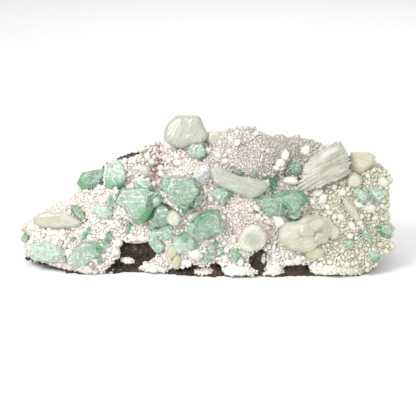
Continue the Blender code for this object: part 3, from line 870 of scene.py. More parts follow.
class Ground:
    """Finished pieces, for seating what stands on them."""

    def __init__(self, pieces: Sequence[bpy.types.Object]) -> None:
        """Sorts the pieces' faces for the sight lines."""
        points, faces = [], []
        for piece in pieces:
            start = len(points)
            points += [v.co for v in piece.data.vertices]
            faces += [tuple(start + v for v in p.vertices) for p in piece.data.polygons]
        self.tree = BVHTree.FromPolygons(points, faces)

    def seat(self, across: float, up: float) -> tuple[Vector | None, Vector | None]:
        """The place and normal that the viewer sees at a place in the picture."""
        sight = VIEW.place(across, up, 0) - VIEW.eye
        return self.tree.ray_cast(VIEW.eye, sight.normalized())[:2]

    def depth(self, across: float, up: float) -> float:
        """The ground's depth in millimetres at a place in the picture."""
        for drop in range(12):
            point, _ = self.seat(across, up - drop)
            if point is not None:
                return point.y / MM
        return 0.0


BARE_PATCHES = (
    (-42.0, 65.4, 10.0, 3.6, 16.0), (-52.0, 62.2, 5.0, 3.0, 12.0), (-55.5, 57.8, 2.4, 3.6, -30.0),
    (-35.8, 66.8, 4.5, 1.8, 28.0),
)


def is_bare(point: Vector) -> bool:
    """Whether a point lies where the rock shows over the crest and stays bare."""
    across, up = VIEW.spot(point)
    for at_across, at_up, wide, high, lean in BARE_PATCHES:
        a, b = across - at_across, up - at_up
        turn = math.radians(lean)
        along = a * math.cos(turn) + b * math.sin(turn)
        off = b * math.cos(turn) - a * math.sin(turn)
        if math.hypot(along / wide, off / high) < 1:
            return True
    return False


@dataclass
class HeulanditeBed:
    """The lumpy ground of the crust, between the crystals that stand on it.

    relief gives, for each pass of lumps, their size and height in millimetres. The sockets of the
    crystals are filled by shrunken copies of them, set_back behind them, apart from the crystals
    that hang over the crust's edge.
    """

    voxel: float = 0.95 * MM
    set_back: float = 3.2 * MM
    shrink: float = 0.94
    overhanging: tuple[str, ...] = (
        "apophyllite_left_wing", "stilbite_fan_crest", "stilbite_bud_crest", "stilbite_wedge",
    )
    relief: tuple[tuple[float, float], ...] = ((5.5, 1.8), (2.4, 1.3), (1.0, 0.6))

    def plugs(self) -> list[bpy.types.Object]:
        """Stand-ins for the crystals, set back, that fill the sockets behind them."""
        made = []
        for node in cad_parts:
            if node in ("basalt_matrix", "heulandite_crust", *self.overhanging):
                continue
            plug = copy_of(node, "plug")
            middle = sum((v.co for v in plug.data.vertices), Vector()) / len(plug.data.vertices)
            back = middle + VIEW.away * self.set_back
            shrunk = Matrix.Translation(back) @ Matrix.Scale(self.shrink, 4)
            settle(plug, shrunk @ Matrix.Translation(-middle))
            made.append(plug)
        return made

    def build(self, finish: bpy.types.Material) -> bpy.types.Object:
        """Roughens a copy of the crust.

        Args:
            finish: The bed's material.

        Returns:
            The piece.
        """
        bed = copy_of("heulandite_crust", "heulandite_bed")
        join(bed, self.plugs())
        finish_with(bed, "REMESH", mode="VOXEL", voxel_size=self.voxel)
        for size, depth in self.relief:
            finish_with(
                bed, "DISPLACE", texture=cloudy("bed", size * MM), texture_coords="LOCAL",
                strength=depth * MM, mid_level=0.6,
            )
        marks = bed.data.attributes.new("bare", "FLOAT_VECTOR", "POINT")
        marks.data.foreach_set(
            "vector", [float(is_bare(vert.co)) for vert in bed.data.vertices for _ in range(3)]
        )
        deliver(bed, Mineral.HEULANDITE, finish)
        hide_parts("heulandite_crust")
        return bed


@dataclass
class HeulanditeDruse:
    """The thousands of small coffin-shaped heulandite crystals on the crust.

    sizes gives, for each pass, how many crystals are tried and their sizes in millimetres. spills
    gives the patches of loose crystals at the crust's edges: across, up, half width, half height,
    lean and how many are tried. most is how many crystals one piece takes, off_rock how far they
    stay from the bare rock, spacing how near two may stand, as a share of their sizes together,
    and cell the side of the boxes in which their neighbours are looked up.
    """

    seed: int = 11
    most: int = 6000
    off_rock: float = 0.5 * MM
    spacing: float = 0.4
    cell: float = 4.0 * MM
    sizes: tuple[tuple[int, float, float], ...] = (
        (280, 2.8, 4.4), (2600, 1.8, 2.7), (24000, 1.1, 1.7), (76000, 0.65, 1.05),
    )
    spills: tuple[tuple[float, float, float, float, float, int], ...] = (
        (-74.0, 6.6, 14.0, 2.6, -14.0, 520), (-60.0, 2.6, 6.0, 1.6, -4.0, 120),
        (-41.8, 8.4, 3.8, 1.3, -8.0, 90), (-47.6, 13.4, 1.8, 3.6, 20.0, 60),
        (-36.0, 19.0, 6.0, 1.2, 4.0, 110),
        (-46.0, 17.6, 1.4, 1.6, 20.0, 22), (-27.4, 17.2, 1.4, 1.8, -10.0, 22),
        (-27.6, 2.8, 5.0, 2.0, 0.0, 110),
        (15.0, 3.0, 7.0, 2.2, 0.0, 230), (35.4, 3.4, 5.0, 2.4, 0.0, 170),
        (29.8, 9.6, 1.0, 3.2, 0.0, 30),
        (-2.0, 2.8, 5.0, 1.8, 0.0, 100), (46.0, 7.4, 6.0, 1.2, 6.0, 70),
        (62.0, 3.4, 7.5, 2.4, 0.0, 260), (76.0, 2.8, 7.0, 2.0, 0.0, 190),
    )

    def forms(self) -> list[Form]:
        """The few shapes of crystal, from blocks sawn to coffins and wedges."""
        made = []
        for sides, cuts in (
            ((1.0, 0.74, 0.62), (
                ((0.34, 0.26, 0), (1, 0.9, 0.25)), ((-0.34, 0.26, 0), (-1, 0.9, 0.3)),
                ((0.34, -0.26, 0), (1, -0.9, 0.3)), ((-0.34, -0.26, 0), (-1, -0.9, 0.25)),
            )),
            ((0.92, 0.86, 0.8), (
                ((0.3, 0, 0.28), (1, 0.2, 1)), ((-0.34, 0.1, 0.24), (-1, 0.1, 0.8)),
                ((0, 0.34, 0.3), (0.1, 1, 1)),
            )),
            ((1.0, 0.6, 0.9), (
                ((0, 0.2, 0.3), (0.1, 1, 0.7)), ((0, -0.2, 0.3), (-0.1, -1, 0.7)),
                ((0.38, 0, 0.2), (1, 0, 0.8)),
            )),
            ((0.85, 0.8, 0.6), (
                ((0.3, 0.3, 0.2), (1, 1, 1)), ((-0.3, 0.3, 0.2), (-1, 1, 1)),
                ((-0.3, -0.3, 0.2), (-1, -1, 0.8)), ((0.3, -0.3, 0.2), (1, -1, 0.8)),
            )),
        ):
            grain = block("grain", sides)
            with at_the_mesh(grain):
                for point, normal in cuts:
                    saw(Vector(point), Vector(normal).normalized())
                bpy.ops.mesh.select_all(action="SELECT")
                bpy.ops.mesh.normals_make_consistent(inside=False)
            made.append(Form.of(grain))
        return made

    def fineness(self, point: Vector) -> float:
        """How much smaller the crystals are at a point: finest on the dome and in patches."""
        across, up = VIEW.spot(point)
        dome = math.hypot((across - 26) / 36, (up - 66) / 22)
        patch = math.hypot((across + 57) / 6, (up - 45) / 4)
        wander = noise.noise(point / (9 * MM) + Vector((3, 9, 2)))
        finer = 1 - 0.22 * max(0.0, 1 - dome * dome) - 0.3 * max(0.0, 1 - patch * patch)
        return finer + 0.34 * wander

    def is_buried(self, crystals: BVHTree, point: Vector, size: float) -> bool:
        """Whether a crystal of this size would stand in or through one of the large crystals."""
        at, normal, _, _ = crystals.find_nearest(point, size)
        return at is not None and (point - at).dot(normal) < 0

    def placed(
        self, point: Vector, normal: Vector, size: float, chance: random.Random, kinds: int,
        spilt: bool = False,
    ) -> Copy:
        """Tips and spins one crystal where it stands, at random.

        Args:
            point: Where it stands.
            normal: The ground's normal there.
            size: Its size in metres.
            chance: Where the variation comes from.
            kinds: How many shapes of crystal there are.
            spilt: Whether it lies loose, so that it sits lower and is tipped more.

        Returns:
            Its shape, its place and its colours.
        """
        tip, lift = (0.4, 0.12) if spilt else (0.36, 0.18)
        tipped = (normal + Vector([chance.gauss(0, tip) for _ in range(3)])).normalized()
        turn = tipped.to_track_quat("Z", "Y").to_matrix().to_4x4()
        turn = turn @ Matrix.Rotation(chance.uniform(0, math.tau), 4, "Z")
        wide, high = 1.15, 1.0
        if not spilt:
            wide, high = chance.uniform(0.95, 1.25), chance.uniform(0.9, 1.3)
        place = Matrix.Translation(point + normal * size * lift) @ turn
        place = place @ Matrix.Diagonal((size * wide, size, size * high, 1))
        return chance.randrange(kinds), place, (chance.random(), chance.random())

    def spilled(
        self, ground: Ground, crystals: BVHTree, chance: random.Random, kinds: int
    ) -> list[Copy]:
        """Places the crystals that spill over the rock at the crust's ragged edges.

        Args:
            ground: The rock and the bed.
            crystals: The faces of the large crystals.
            chance: Where the variation comes from.
            kinds: How many shapes of crystal there are.

        Returns:
            For each crystal its shape, its place and its colours.
        """
        copies = []
        for across, up, wide, high, lean, count in self.spills:
            turn = Matrix.Rotation(math.radians(lean), 2)
            for _ in range(count):
                out, way = math.sqrt(chance.random()), chance.uniform(0, math.tau)
                off = turn @ Vector((wide * out * math.cos(way), high * out * math.sin(way)))
                point, normal = ground.seat(across + off.x, up + off.y)
                if point is None:
                    continue
                size = chance.uniform(0.8, 1.5 if out > 0.6 else 2.4) * MM
                if self.is_buried(crystals, point, size):
                    continue
                copies.append(self.placed(point, normal, size, chance, kinds, spilt=True))
        return copies

    def build(
        self, bed: bpy.types.Object, stood: Sequence[bpy.types.Object], finish: bpy.types.Material
    ) -> None:
        """Scatters the crystals over the bed, the largest first.

        Args:
            bed: The finished bed.
            stood: The large crystals that stand on it.
            finish: The crystals' material.
        """
        chance = random.Random(self.seed)
        spread = np.random.default_rng(self.seed)
        mesh = bed.data
        mesh.calc_loop_triangles()
        points = np.array([v.co for v in mesh.vertices])
        corners = points[np.array([t.vertices for t in mesh.loop_triangles])]
        crosses = np.cross(corners[:, 1] - corners[:, 0], corners[:, 2] - corners[:, 0])
        areas = np.linalg.norm(crosses, axis=1)
        rock = Ground([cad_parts["basalt_matrix"]]).tree
        crystals = Ground(stood).tree
        taken: dict[tuple[int, int, int], list[tuple[Vector, float]]] = {}
        copies = []
        forms = self.forms()
        for tries, small, large in self.sizes:
            picks = spread.choice(len(areas), tries, p=areas / areas.sum())
            shares = np.sort(spread.random((tries, 2)), axis=1)
            for pick, (a, b) in zip(picks, shares):
                c = corners[pick]
                point = Vector(c[0] * a + c[1] * (b - a) + c[2] * (1 - b))
                size = chance.uniform(small, large) * MM * self.fineness(point)
                key = tuple(int(math.floor(v / self.cell)) for v in point)
                near = [
                    found
                    for i in (-1, 0, 1) for j in (-1, 0, 1) for k in (-1, 0, 1)
                    for found in taken.get((key[0] + i, key[1] + j, key[2] + k), ())
                ]
                if any(
                    (point - other).length < self.spacing * (size + reach) for other, reach in near
                ):
                    continue
                if is_bare(point):
                    continue
                if rock.find_nearest(point, self.off_rock)[0] is not None:
                    continue
                if self.is_buried(crystals, point, size):
                    continue
                taken.setdefault(key, []).append((point, size))
                normal = Vector(crosses[pick]).normalized()
                copies.append(self.placed(point, normal, size, chance, len(forms)))
        ground = Ground([bpy.data.objects["basalt_block"], bed])
        copies += self.spilled(ground, crystals, chance, len(forms))
        copies.sort(key=lambda made: made[1].translation.x)
        for i, first in enumerate(range(0, len(copies), self.most)):
            batch = copies[first : first + self.most]
            piece = joined_copies(f"heulandite_druse_{i + 1}", forms, batch, "grain")
            deliver(piece, Mineral.HEULANDITE, finish)


# ---------------------------------------------------------------- apophyllite

PRISM_EDGE = 0.25 * MM
GEM_EDGE = 0.26 * MM
STEP_EDGE = 0.12 * MM
FAR_END = 0.75
APART = 31


def stacked(
    rim: Sequence[Vector], rings: Sequence[tuple[float, float, float, float]]
) -> bpy.types.Object:
    """Extrudes a rim through rings of other sizes to one closed solid.

    Args:
        rim: The rim's corners about the origin, in metres.
        rings: For each ring from the back, its share of the rim, its shift in X and Y and its
            height, in metres.

    Returns:
        The solid, its rim in the XY plane.
    """
    bpy.ops.object.select_all(action="DESELECT")
    bpy.ops.mesh.primitive_circle_add(vertices=len(rim), radius=0.01, fill_type="NGON")
    made = bpy.context.object
    share, x, y, z = rings[0]
    for vert, corner in zip(made.data.vertices, rim):
        vert.co = (corner.x * share + x, corner.y * share + y, z)
    with at_the_mesh(made):
        for next_share, next_x, next_y, next_z in rings[1:]:
            bpy.ops.mesh.extrude_region_move(
                TRANSFORM_OT_translate={"value": (next_x - x, next_y - y, next_z - z)}
            )
            grow = next_share / share
            bpy.ops.transform.resize(value=(grow, grow, 1), center_override=(next_x, next_y, 0))
            share, x, y, z = next_share, next_x, next_y, next_z
        bpy.ops.mesh.select_all(action="SELECT")
        bpy.ops.mesh.normals_make_consistent(inside=False)
    return made


@dataclass
class Crystal:
    """Where an apophyllite crystal is, in millimetres. Its other measures are in degrees too.

    In both kinds of crystal, green and milk say how green and how cloudy the body is, and steps
    how many parallel growth steps stand on it.
    """

    across: float
    up: float
    y: float

    @property
    def middle(self) -> Vector:
        """The crystal's middle in the specimen."""
        return VIEW.place(self.across, self.up, self.y)

    def bevel(self, width: float) -> None:
        """Softens the edges of the open mesh with one narrow facet."""
        bpy.ops.mesh.select_all(action="SELECT")
        bpy.ops.mesh.bevel(offset=width, segments=1, affect="EDGES", clamp_overlap=True)


@dataclass
class Prism(Crystal):
    """A square prism with pyramid ends, one of them blunter by FAR_END.

    point is how high the pyramids are and apex how far past the body the cuts meet. deep is 1 or
    -1 for the end that is deep green.
    """

    length: float
    width: float
    depth: float
    lean: float
    toward: float = 0
    roll: float = 0
    point: float = 3
    apex: float = 3
    deep: float = 0
    green: float = 0.5
    milk: float = 0.45
    steps: int = 1

    @property
    def frame(self) -> Matrix:
        """The prism's own frame in the specimen."""
        turn = VIEW.prism_frame(self.lean, self.toward, self.roll)
        return Matrix.Translation(self.middle) @ turn

    def carve(self, share: Place = (1, 1, 1), offset: Place = (0, 0, 0)) -> bpy.types.Object:
        """Saws the prism from a block.

        Args:
            share: Its sides as a share of the whole prism's.
            offset: Its middle as a share of the whole prism's sides.

        Returns:
            The prism, in its place.
        """
        whole = Vector((self.width, self.depth, self.length)) * MM
        wide, deep, long = (a * b for a, b in zip(whole, share))
        corner = math.hypot(wide, deep) / 2
        made = block("prism", (wide, deep, long))
        with at_the_mesh(made):
            for end in (1, -1):
                point = self.point * MM * (1 if end > 0 else FAR_END) * min(share)
                apex = self.apex * MM * min(share)
                for side_x in (1, -1):
                    for side_y in (1, -1):
                        out = Vector((side_x * deep, side_y * wide, 0)).normalized()
                        slope = Vector((0, 0, end)) * corner + out * (point + apex)
                        saw(Vector((0, 0, end * (long / 2 + apex))), slope.normalized())
            bpy.ops.mesh.select_all(action="SELECT")
            bpy.ops.mesh.remove_doubles(threshold=0.03 * MM)
            bpy.ops.mesh.normals_make_consistent(inside=False)
            self.bevel(min(0.035 * min(wide, deep), PRISM_EDGE))
        moved = Matrix.Translation(Vector(a * b for a, b in zip(whole, offset)))
        settle(made, self.frame @ moved)
        return made

    def growth(self, chance: random.Random) -> list[bpy.types.Object]:
        """The smaller parallel prisms that stand a little proud of it."""
        made = []
        for _ in range(self.steps):
            share = (
                chance.uniform(0.4, 0.72), chance.uniform(0.5, 0.8), chance.uniform(0.45, 0.78),
            )
            side_x, side_y = chance.choice((-1, 1)), chance.choice((-1, 1))
            offset = (
                side_x * ((1 - share[0]) / 2 + chance.uniform(-0.04, 0.05)),
                side_y * ((1 - share[1]) / 2 + chance.uniform(0.0, 0.06)),
                chance.uniform(-0.5, 0.5) * (1 - share[2] + 0.04),
            )
            made.append(self.carve(share, offset))
        return made

    def miss(self, p: Vector) -> float:
        """How far a place in the prism's own frame lies from its surface, as a share."""
        return abs(max(abs(p.x) / self.width, abs(p.y) / self.depth, abs(p.z) / self.length) - 0.5)

    def along(self, p: Vector) -> float:
        """How near a place lies to the deep green end, 0 to 1."""
        return 0.5 + self.deep * p.z / self.length if self.deep else 0.0


@dataclass
class Gem(Crystal):
    """A crystal seen on its broad side: a table, and facets that slope from it to the rim.

    rim is its outline in the picture about its middle, table the share of the rim that the table
    takes and its shift, deep the direction of its deep green end, corners how many corners of the
    table are cut by a further facet, and root how deep it goes, as a share of half its thickness.
    """

    rim: Rim
    thick: float
    table: tuple[float, float, float] = (0.68, 0.0, 0.0)
    turn: float = 0
    nod: float = 0
    deep: float | None = None
    green: float = 0.5
    milk: float = 0.5
    steps: int = 2
    corners: int = 3
    root: float = 1.7

    @property
    def frame(self) -> Matrix:
        """The gem's own frame in the specimen."""
        return Matrix.Translation(self.middle) @ VIEW.plate_frame(self.turn, self.nod)

    def carve(self) -> bpy.types.Object:
        """Stacks the gem from its rim and cuts its corners."""
        half = self.thick / 2 * MM
        share, x, y = self.table
        rim = [Vector(corner) * MM for corner in self.rim]
        made = stacked(
            rim,
            (
                (0.9, 0, 0, -half * self.root), (1.0, 0, 0, -0.4 * half),
                (0.995, 0, 0, 0.22 * half), (share, x * MM, y * MM, half),
            ),
        )
        chance = random.Random(len(rim) * 7 + int(self.thick))
        reach = sum(corner.length for corner in rim) / len(rim)
        with at_the_mesh(made):
            for _ in range(self.corners):
                out = chance.choice(rim).normalized().to_3d()
                normal = (out + Vector((0, 0, chance.uniform(0.7, 1.1)))).normalized()
                saw(out * reach * chance.uniform(0.72, 0.84) + Vector((0, 0, half * 0.8)), normal)
            self.bevel(GEM_EDGE)
        settle(made, self.frame)
        return made

    def growth(self, chance: random.Random) -> list[bpy.types.Object]:
        """The low stepped plates that lie parallel on the table."""
        made = []
        half = self.thick / 2 * MM
        share, x, y = self.table
        rim = [Vector(corner) * MM for corner in self.rim]
        for _ in range(self.steps):
            part = share * chance.uniform(0.42, 0.85)
            swing = chance.uniform(0, math.tau)
            slip = (share - part) * 1.05
            reach = sum(corner.length for corner in rim) / len(rim) * slip
            shift = (x * MM + math.cos(swing) * reach, y * MM + math.sin(swing) * reach)
            lift = chance.uniform(0.3, 1.1) * MM
            rings = ((part * 1.08, 0), (part * 1.05, half), (part, half + lift))
            step = stacked(rim, [(size, *shift, height) for size, height in rings])
            with at_the_mesh(step):
                self.bevel(STEP_EDGE)
            settle(step, self.frame)
            made.append(step)
        return made

    def miss(self, p: Vector) -> float:
        """How far a place in the gem's own frame lies from its surface, as a share."""
        wide = max(abs(a) for a, _ in self.rim)
        high = max(abs(b) for _, b in self.rim)
        return abs(max(math.hypot(p.x / wide, p.y / high) * 0.9, abs(p.z) / self.thick * 2) - 1) / 2

    def along(self, p: Vector) -> float:
        """How near a place lies to the deep green end, 0 to 1."""
        if self.deep is None:
            return 0.0
        way = Vector((math.cos(math.radians(self.deep)), math.sin(math.radians(self.deep))))
        reach = max(abs(Vector(corner).dot(way)) for corner in self.rim)
        return 0.5 + 0.5 * p.xy.dot(way) / reach


@dataclass
class ApophylliteCluster:
    """The crystals of one grown-together group, welded to one solid.

    Facets narrower than edge, in millimetres, are taken for edges.
    """

    name: str
    crystals: tuple[Prism | Gem, ...]
    mineral: Mineral = Mineral.APOPHYLLITE
    edge: float = 0.2

    def mark(self, piece: bpy.types.Object) -> None:
        """Notes on each face corner its place in its own crystal, and that crystal's habit.

        Edge facets are noted as paler and cloudier, a painted highlight along the edges.

        Args:
            piece: The welded cluster.
        """
        mesh = piece.data
        growth = np.zeros((len(mesh.loops), 3))
        habit = np.zeros((len(mesh.loops), 3))
        inverses = [crystal.frame.inverted() for crystal in self.crystals]
        points = [v.co for v in mesh.vertices]
        for polygon in mesh.polygons:
            misses = [
                crystal.miss(inverse @ polygon.center / MM)
                for crystal, inverse in zip(self.crystals, inverses)
            ]
            i = misses.index(min(misses))
            own = self.crystals[i]
            corners = [points[v] for v in polygon.vertices]
            round_it = sum((a - b).length for a, b in zip(corners, corners[1:] + corners[:1]))
            # painted highlight: narrow edge facets are made paler and cloudier
            is_edge = polygon.area / round_it < self.edge * MM
            depth, colour, cloud = (0.6, 0.35, 0.25) if is_edge else (1, 1, 0)
            for loop, v in zip(polygon.loop_indices, polygon.vertices):
                p = inverses[i] @ points[v] / MM
                growth[loop] = (p.x + APART * i, p.y + own.across, p.z)
                habit[loop] = (own.along(p) * depth, own.green * colour, own.milk + cloud)
        for name, values in (("growth", growth), ("habit", habit)):
            mesh.attributes.new(name, "FLOAT_VECTOR", "CORNER")
            mesh.attributes[name].data.foreach_set("vector", values.ravel())

    def build(self, finish: bpy.types.Material) -> bpy.types.Object:
        """Carves, welds and dresses the cluster.

        Args:
            finish: The crystals' material.

        Returns:
            The piece.
        """
        chance = random.Random(self.name)
        members = []
        for crystal in self.crystals:
            members.append(crystal.carve())
            members += crystal.growth(chance)
        piece = members[0]
        weld(piece, members[1:])
        piece.name = piece.data.name = f"{self.name}_crystal"
        self.mark(piece)
        deliver(piece, self.mineral, finish)
        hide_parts(self.name)
        return piece


CLUSTERS = (
    ApophylliteCluster("apophyllite_left_wing", (
        Gem(-60.9, 51.1, -4.8, (
            (-8.2, -2.2), (-4.9, 3.8), (7.2, 5.9), (8.2, 1.3), (6.4, -4.0), (0.6, -5.2),
            (-4.9, -5.9),
        ), 9, (0.6, 1.0, 1.2), turn=-10, nod=8, deep=200, green=0.9, milk=0.4),)),
    ApophylliteCluster("apophyllite_left_upright", (
        Gem(-47.9, 53.5, -10, (
            (0.3, 8.4), (2.9, 6.7), (4.8, 3.1), (5.1, -2.7), (2.9, -7.5), (-1.8, -8.4),
            (-4.1, -7.5), (-5.1, -3.2), (-4.9, 2.4), (-3.1, 6.2),
        ), 8.5, (0.6, 0.6, 0.6), turn=12, deep=-100, green=0.15, milk=0.75, steps=3),)),
    ApophylliteCluster("apophyllite_large_left", (
        Gem(-37.8, 37.4, -20.5, (
            (-7.0, 9.2), (3.6, 9.7), (10.9, 6.6), (9.6, -2.4), (7.7, -6.1), (4.6, -9.7),
            (-0.7, -9.0), (-3.8, -3.7), (-10.9, 1.6),
        ), 14, (0.74, -0.6, 0.9), turn=-6, nod=4, deep=-62, green=0.42, milk=0.6, steps=4),
        Gem(-48.3, 39.8, -20.6, ((-4.1, 2.7), (0.9, 4.3), (4.1, 0.6), (1.4, -4.3), (-3.6, -2.7)),
            9, (0.6, 0.4, 0.2), turn=-14, deep=150, green=1.1, milk=0.3, steps=1, corners=1),
        Gem(-27.4, 40.4, -19.5, (
            (-3.2, 2.1), (0.3, 4.9), (3.5, 3.2), (4.2, -0.7), (1.8, -4.2), (-2.1, -4.9),
            (-4.2, -2.3),
        ), 9, (0.7, 0.3, 0.4), turn=14, deep=20, green=1.2, milk=0.35, steps=1, corners=1),
        Gem(-33.3, 47.7, -16.6, ((-5.7, 1.6), (-0.9, 3.9), (5.7, -0.8), (1.8, -3.9), (-4.6, -1.1)),
            8.5, (0.62, 0.3, 0.2), turn=4, nod=-14, green=0.15, milk=0.75, steps=1, corners=0),)),
    ApophylliteCluster("apophyllite_large_centre", (
        Gem(-14.3, 42.9, -18.8, (
            (-9.3, 10.1), (3.4, 9.8), (7.5, 7.7), (11.2, 3.8), (10.7, 0.3), (7.3, -5.3),
            (2.8, -10.1), (-1.6, -8.3), (-5.7, -3.9), (-9.0, 0.7), (-11.2, 5.3),
        ), 14, (0.74, 0.4, 1.0), turn=6, nod=5, deep=-75, green=0.6, milk=0.5, steps=5, corners=4),
        Gem(-5.3, 39.7, -20.8, ((-2.1, 2.6), (2.1, 5.3), (3.7, 1.6), (1.1, -2.6), (-3.7, -5.3)),
            7, (0.6, 0, 0), turn=16, green=0.9, milk=0.4, steps=0, corners=0),)),
    ApophylliteCluster("apophyllite_behind_centre", (
        Prism(-24.4, 32.4, -20.8, 11, 8.5, 8, 62, 12, 25, 3, 2, green=0.45, milk=0.5),)),
    ApophylliteCluster("apophyllite_facing", (
        Gem(-54.4, 34.1, -18.8, (
            (-5.3, 2.8), (-3.1, 4.6), (2.6, 4.4), (5.4, 0.9), (4.4, -2.7), (1.5, -4.6),
            (-2.9, -3.5), (-5.4, -0.1),
        ), 9, (0.56, 0.5, -0.3), green=0.15, milk=0.75, steps=1, corners=0),)),
    ApophylliteCluster("apophyllite_small_left", (
        Gem(-67.8, 33.4, -14.9, (
            (-4.2, 4.0), (-0.8, 4.4), (3.4, 0.0), (4.2, -3.4), (1.3, -4.4), (-2.4, -0.5),
        ), 5.5, (0.55, 0, 0), turn=10, deep=130, green=0.6, milk=0.35, steps=1, corners=1),)),
    ApophylliteCluster("apophyllite_foot_far_left", (
        Gem(-84.1, 13.4, -25.5, (
            (-10.5, 3.9), (-1.6, 4.7), (1.4, 5.8), (6.9, 2.1), (10.5, -0.5), (9.0, -3.5),
            (3.3, -5.8), (-7.2, -5.4), (-9.8, -1.9),
        ), 8.5, (0.66, 0, 0.5), turn=-6, green=0.2, milk=0.7, steps=5),)),
    ApophylliteCluster("apophyllite_foot_left", (
        Gem(-64.3, 11.6, -30.9, (
            (-9.4, -2.7), (-5.7, 3.6), (0.4, 7.2), (6.1, 6.8), (9.4, 3.6), (8.8, -0.3), (3.9, -3.2),
            (-1.0, -5.9), (-5.2, -7.2), (-8.4, -5.4),
        ), 10, (0.66, 0, 0.8), turn=5, nod=4, deep=28, green=0.4, milk=0.6, steps=4),)),
    ApophylliteCluster("apophyllite_crest", (
        Gem(-5.2, 65.8, -3.5, (
            (-5.2, 1.8), (-2.2, 4.8), (2.0, 5.0), (5.2, 1.0), (5.1, -3.4), (0.6, -5.0),
            (-4.9, -2.6),
        ), 8, (0.6, 0.4, 0.4), turn=8, nod=6, deep=-20, green=0.3, milk=0.65),)),
    ApophylliteCluster("apophyllite_clear", (
        Prism(-2.2, 54.2, -11.7, 10, 6, 6, 42, 12, 40, 3, 2, green=0.0, milk=0.75),
    ), Mineral.CLEAR),
    ApophylliteCluster("apophyllite_small_centre", (
        Gem(7.6, 42.3, -19.1, (
            (-6.6, 0.8), (-2.0, 5.4), (3.3, 4.7), (6.6, 0.9), (3.4, -1.5), (1.1, -5.4),
            (-3.5, -2.2),
        ), 7, (0.6, 0, 0.4), turn=-8, nod=-6, deep=10, green=0.3, milk=0.6),)),
    ApophylliteCluster("apophyllite_right_pair", (
        Gem(33.6, 36.9, -24.2, (
            (-9.3, 3.7), (-4.7, 4.9), (-1.5, 5.9), (3.7, 5.2), (7.9, 2.0), (9.3, -0.9), (9.0, -3.5),
            (5.5, -5.9), (-1.1, -5.5), (-4.4, -2.4),
        ), 10, (0.62, 0.8, 0.4), turn=-6, deep=-20, green=1.0, milk=0.4, steps=3),
        Gem(42.8, 37.8, -22.8, (
            (-10.7, 3.8), (-5.9, 6.3), (-0.1, 7.8), (7.2, 7.1), (10.7, 4.0), (10.2, 1.4),
            (7.0, -1.3), (5.8, -5.7), (0.9, -7.8), (-1.2, -3.9), (-6.5, 0.8),
        ), 11, (0.62, 0.6, 0.8), turn=8, nod=4, deep=15, green=0.85, milk=0.5, steps=2),
        Gem(46.3, 32.8, -23.4, (
            (-3.7, 2.7), (1.6, 4.3), (4.2, 2.2), (3.2, -2.5), (-1.1, -4.3), (-4.2, -2.0),
        ), 8, (0.6, 0, 0), green=0.4, milk=0.55, steps=1, corners=1),)),
    ApophylliteCluster("apophyllite_diagonal", (
        Gem(-0.4, 26.5, -26.7, (
            (-8.8, 1.9), (-3.3, 6.4), (0.4, 8.6), (6.2, 8.6), (7.7, 5.9), (10.7, 0.8), (9.1, -2.9),
            (1.4, -6.7), (-3.3, -8.6), (-8.6, -7.8), (-10.7, -3.6),
        ), 11, (0.7, 0.4, 0.6), turn=-5, nod=4, deep=135, green=0.75, milk=0.5, steps=3, corners=2),
        Gem(-11.4, 17.6, -29.2, (
            (-7.0, -0.4), (-5.3, 3.4), (-0.7, 6.3), (4.2, 3.4), (7.0, -0.4), (5.5, -4.2),
            (0.5, -6.3), (-6.2, -5.5),
        ), 8.5, (0.6, 0, 0.4), turn=6, nod=-4, green=0.3, milk=0.65, steps=3, corners=2),)),
    ApophylliteCluster("apophyllite_button", (
        Prism(-28.2, 27.9, -23.1, 6, 5.5, 5.5, 80, 60, 20, 1.5, 1, green=0.6, steps=0),)),
    ApophylliteCluster("apophyllite_ledge", (
        Prism(-23.6, 22.8, -25.1, 11, 5, 5, 12, 8, 30, 2, 1.5, green=0.25, milk=0.6),)),
    ApophylliteCluster("apophyllite_below_ledge", (
        Prism(-26, 16.8, -25.8, 9, 5.5, 5.5, -52, 10, 20, 2, 1.5, green=0.3, milk=0.55),)),
    ApophylliteCluster("apophyllite_foot_centre", (
        Prism(1.2, 11.4, -30.8, 8, 4.5, 4.5, 48, 10, 25, 2, 1.5, green=0.5),)),
    ApophylliteCluster("apophyllite_foot_mint", (
        Prism(14.4, 11.2, -32.6, 6.5, 5, 5, 25, 20, 30, 2, 1, green=0.4, deep=1),)),
    ApophylliteCluster("apophyllite_beside_sheaf", (
        Prism(45, 56.2, -11.2, 9.5, 6, 6, 48, 12, 20, 2.5, 2, green=0.8, milk=0.35),)),
    ApophylliteCluster("apophyllite_right_pale", (
        Gem(80.7, 42.4, -15.2, ((-4.1, 2.2), (-1.2, 4.7), (2.2, 1.8), (4.1, -3.7), (0.7, -4.7)),
            6.5, (0.55, 0, 0), turn=8, green=0.25, milk=0.6, corners=1),)),
    ApophylliteCluster("apophyllite_far_right_pale", (
        Gem(88.9, 42.8, -12.9, ((-4.9, 3.8), (1.0, 5.0), (4.9, -1.1), (1.8, -5.0), (-3.6, -2.1)),
            6.5, (0.55, 0, 0), turn=10, green=0.3, milk=0.6, corners=1),)),
    ApophylliteCluster("apophyllite_right_edge", (
        Gem(93.3, 24.1, -22, ((-4.7, 0.2), (-2.9, 3.3), (3.2, 3.7), (4.7, -2.3), (-0.3, -3.7)),
            7, (0.6, 0, 0.3), turn=12, nod=-4, green=0.6, milk=0.45, deep=190, corners=1),)),
    ApophylliteCluster("apophyllite_right_low", (
        Gem(83.7, 21.5, -26.3, ((-2.8, 3.6), (-0.2, 4.6), (2.8, -0.8), (2.6, -4.6), (-0.7, -2.5)),
            5, (0.55, 0, 0), turn=-8, green=0.5, milk=0.5, corners=1),)),
)


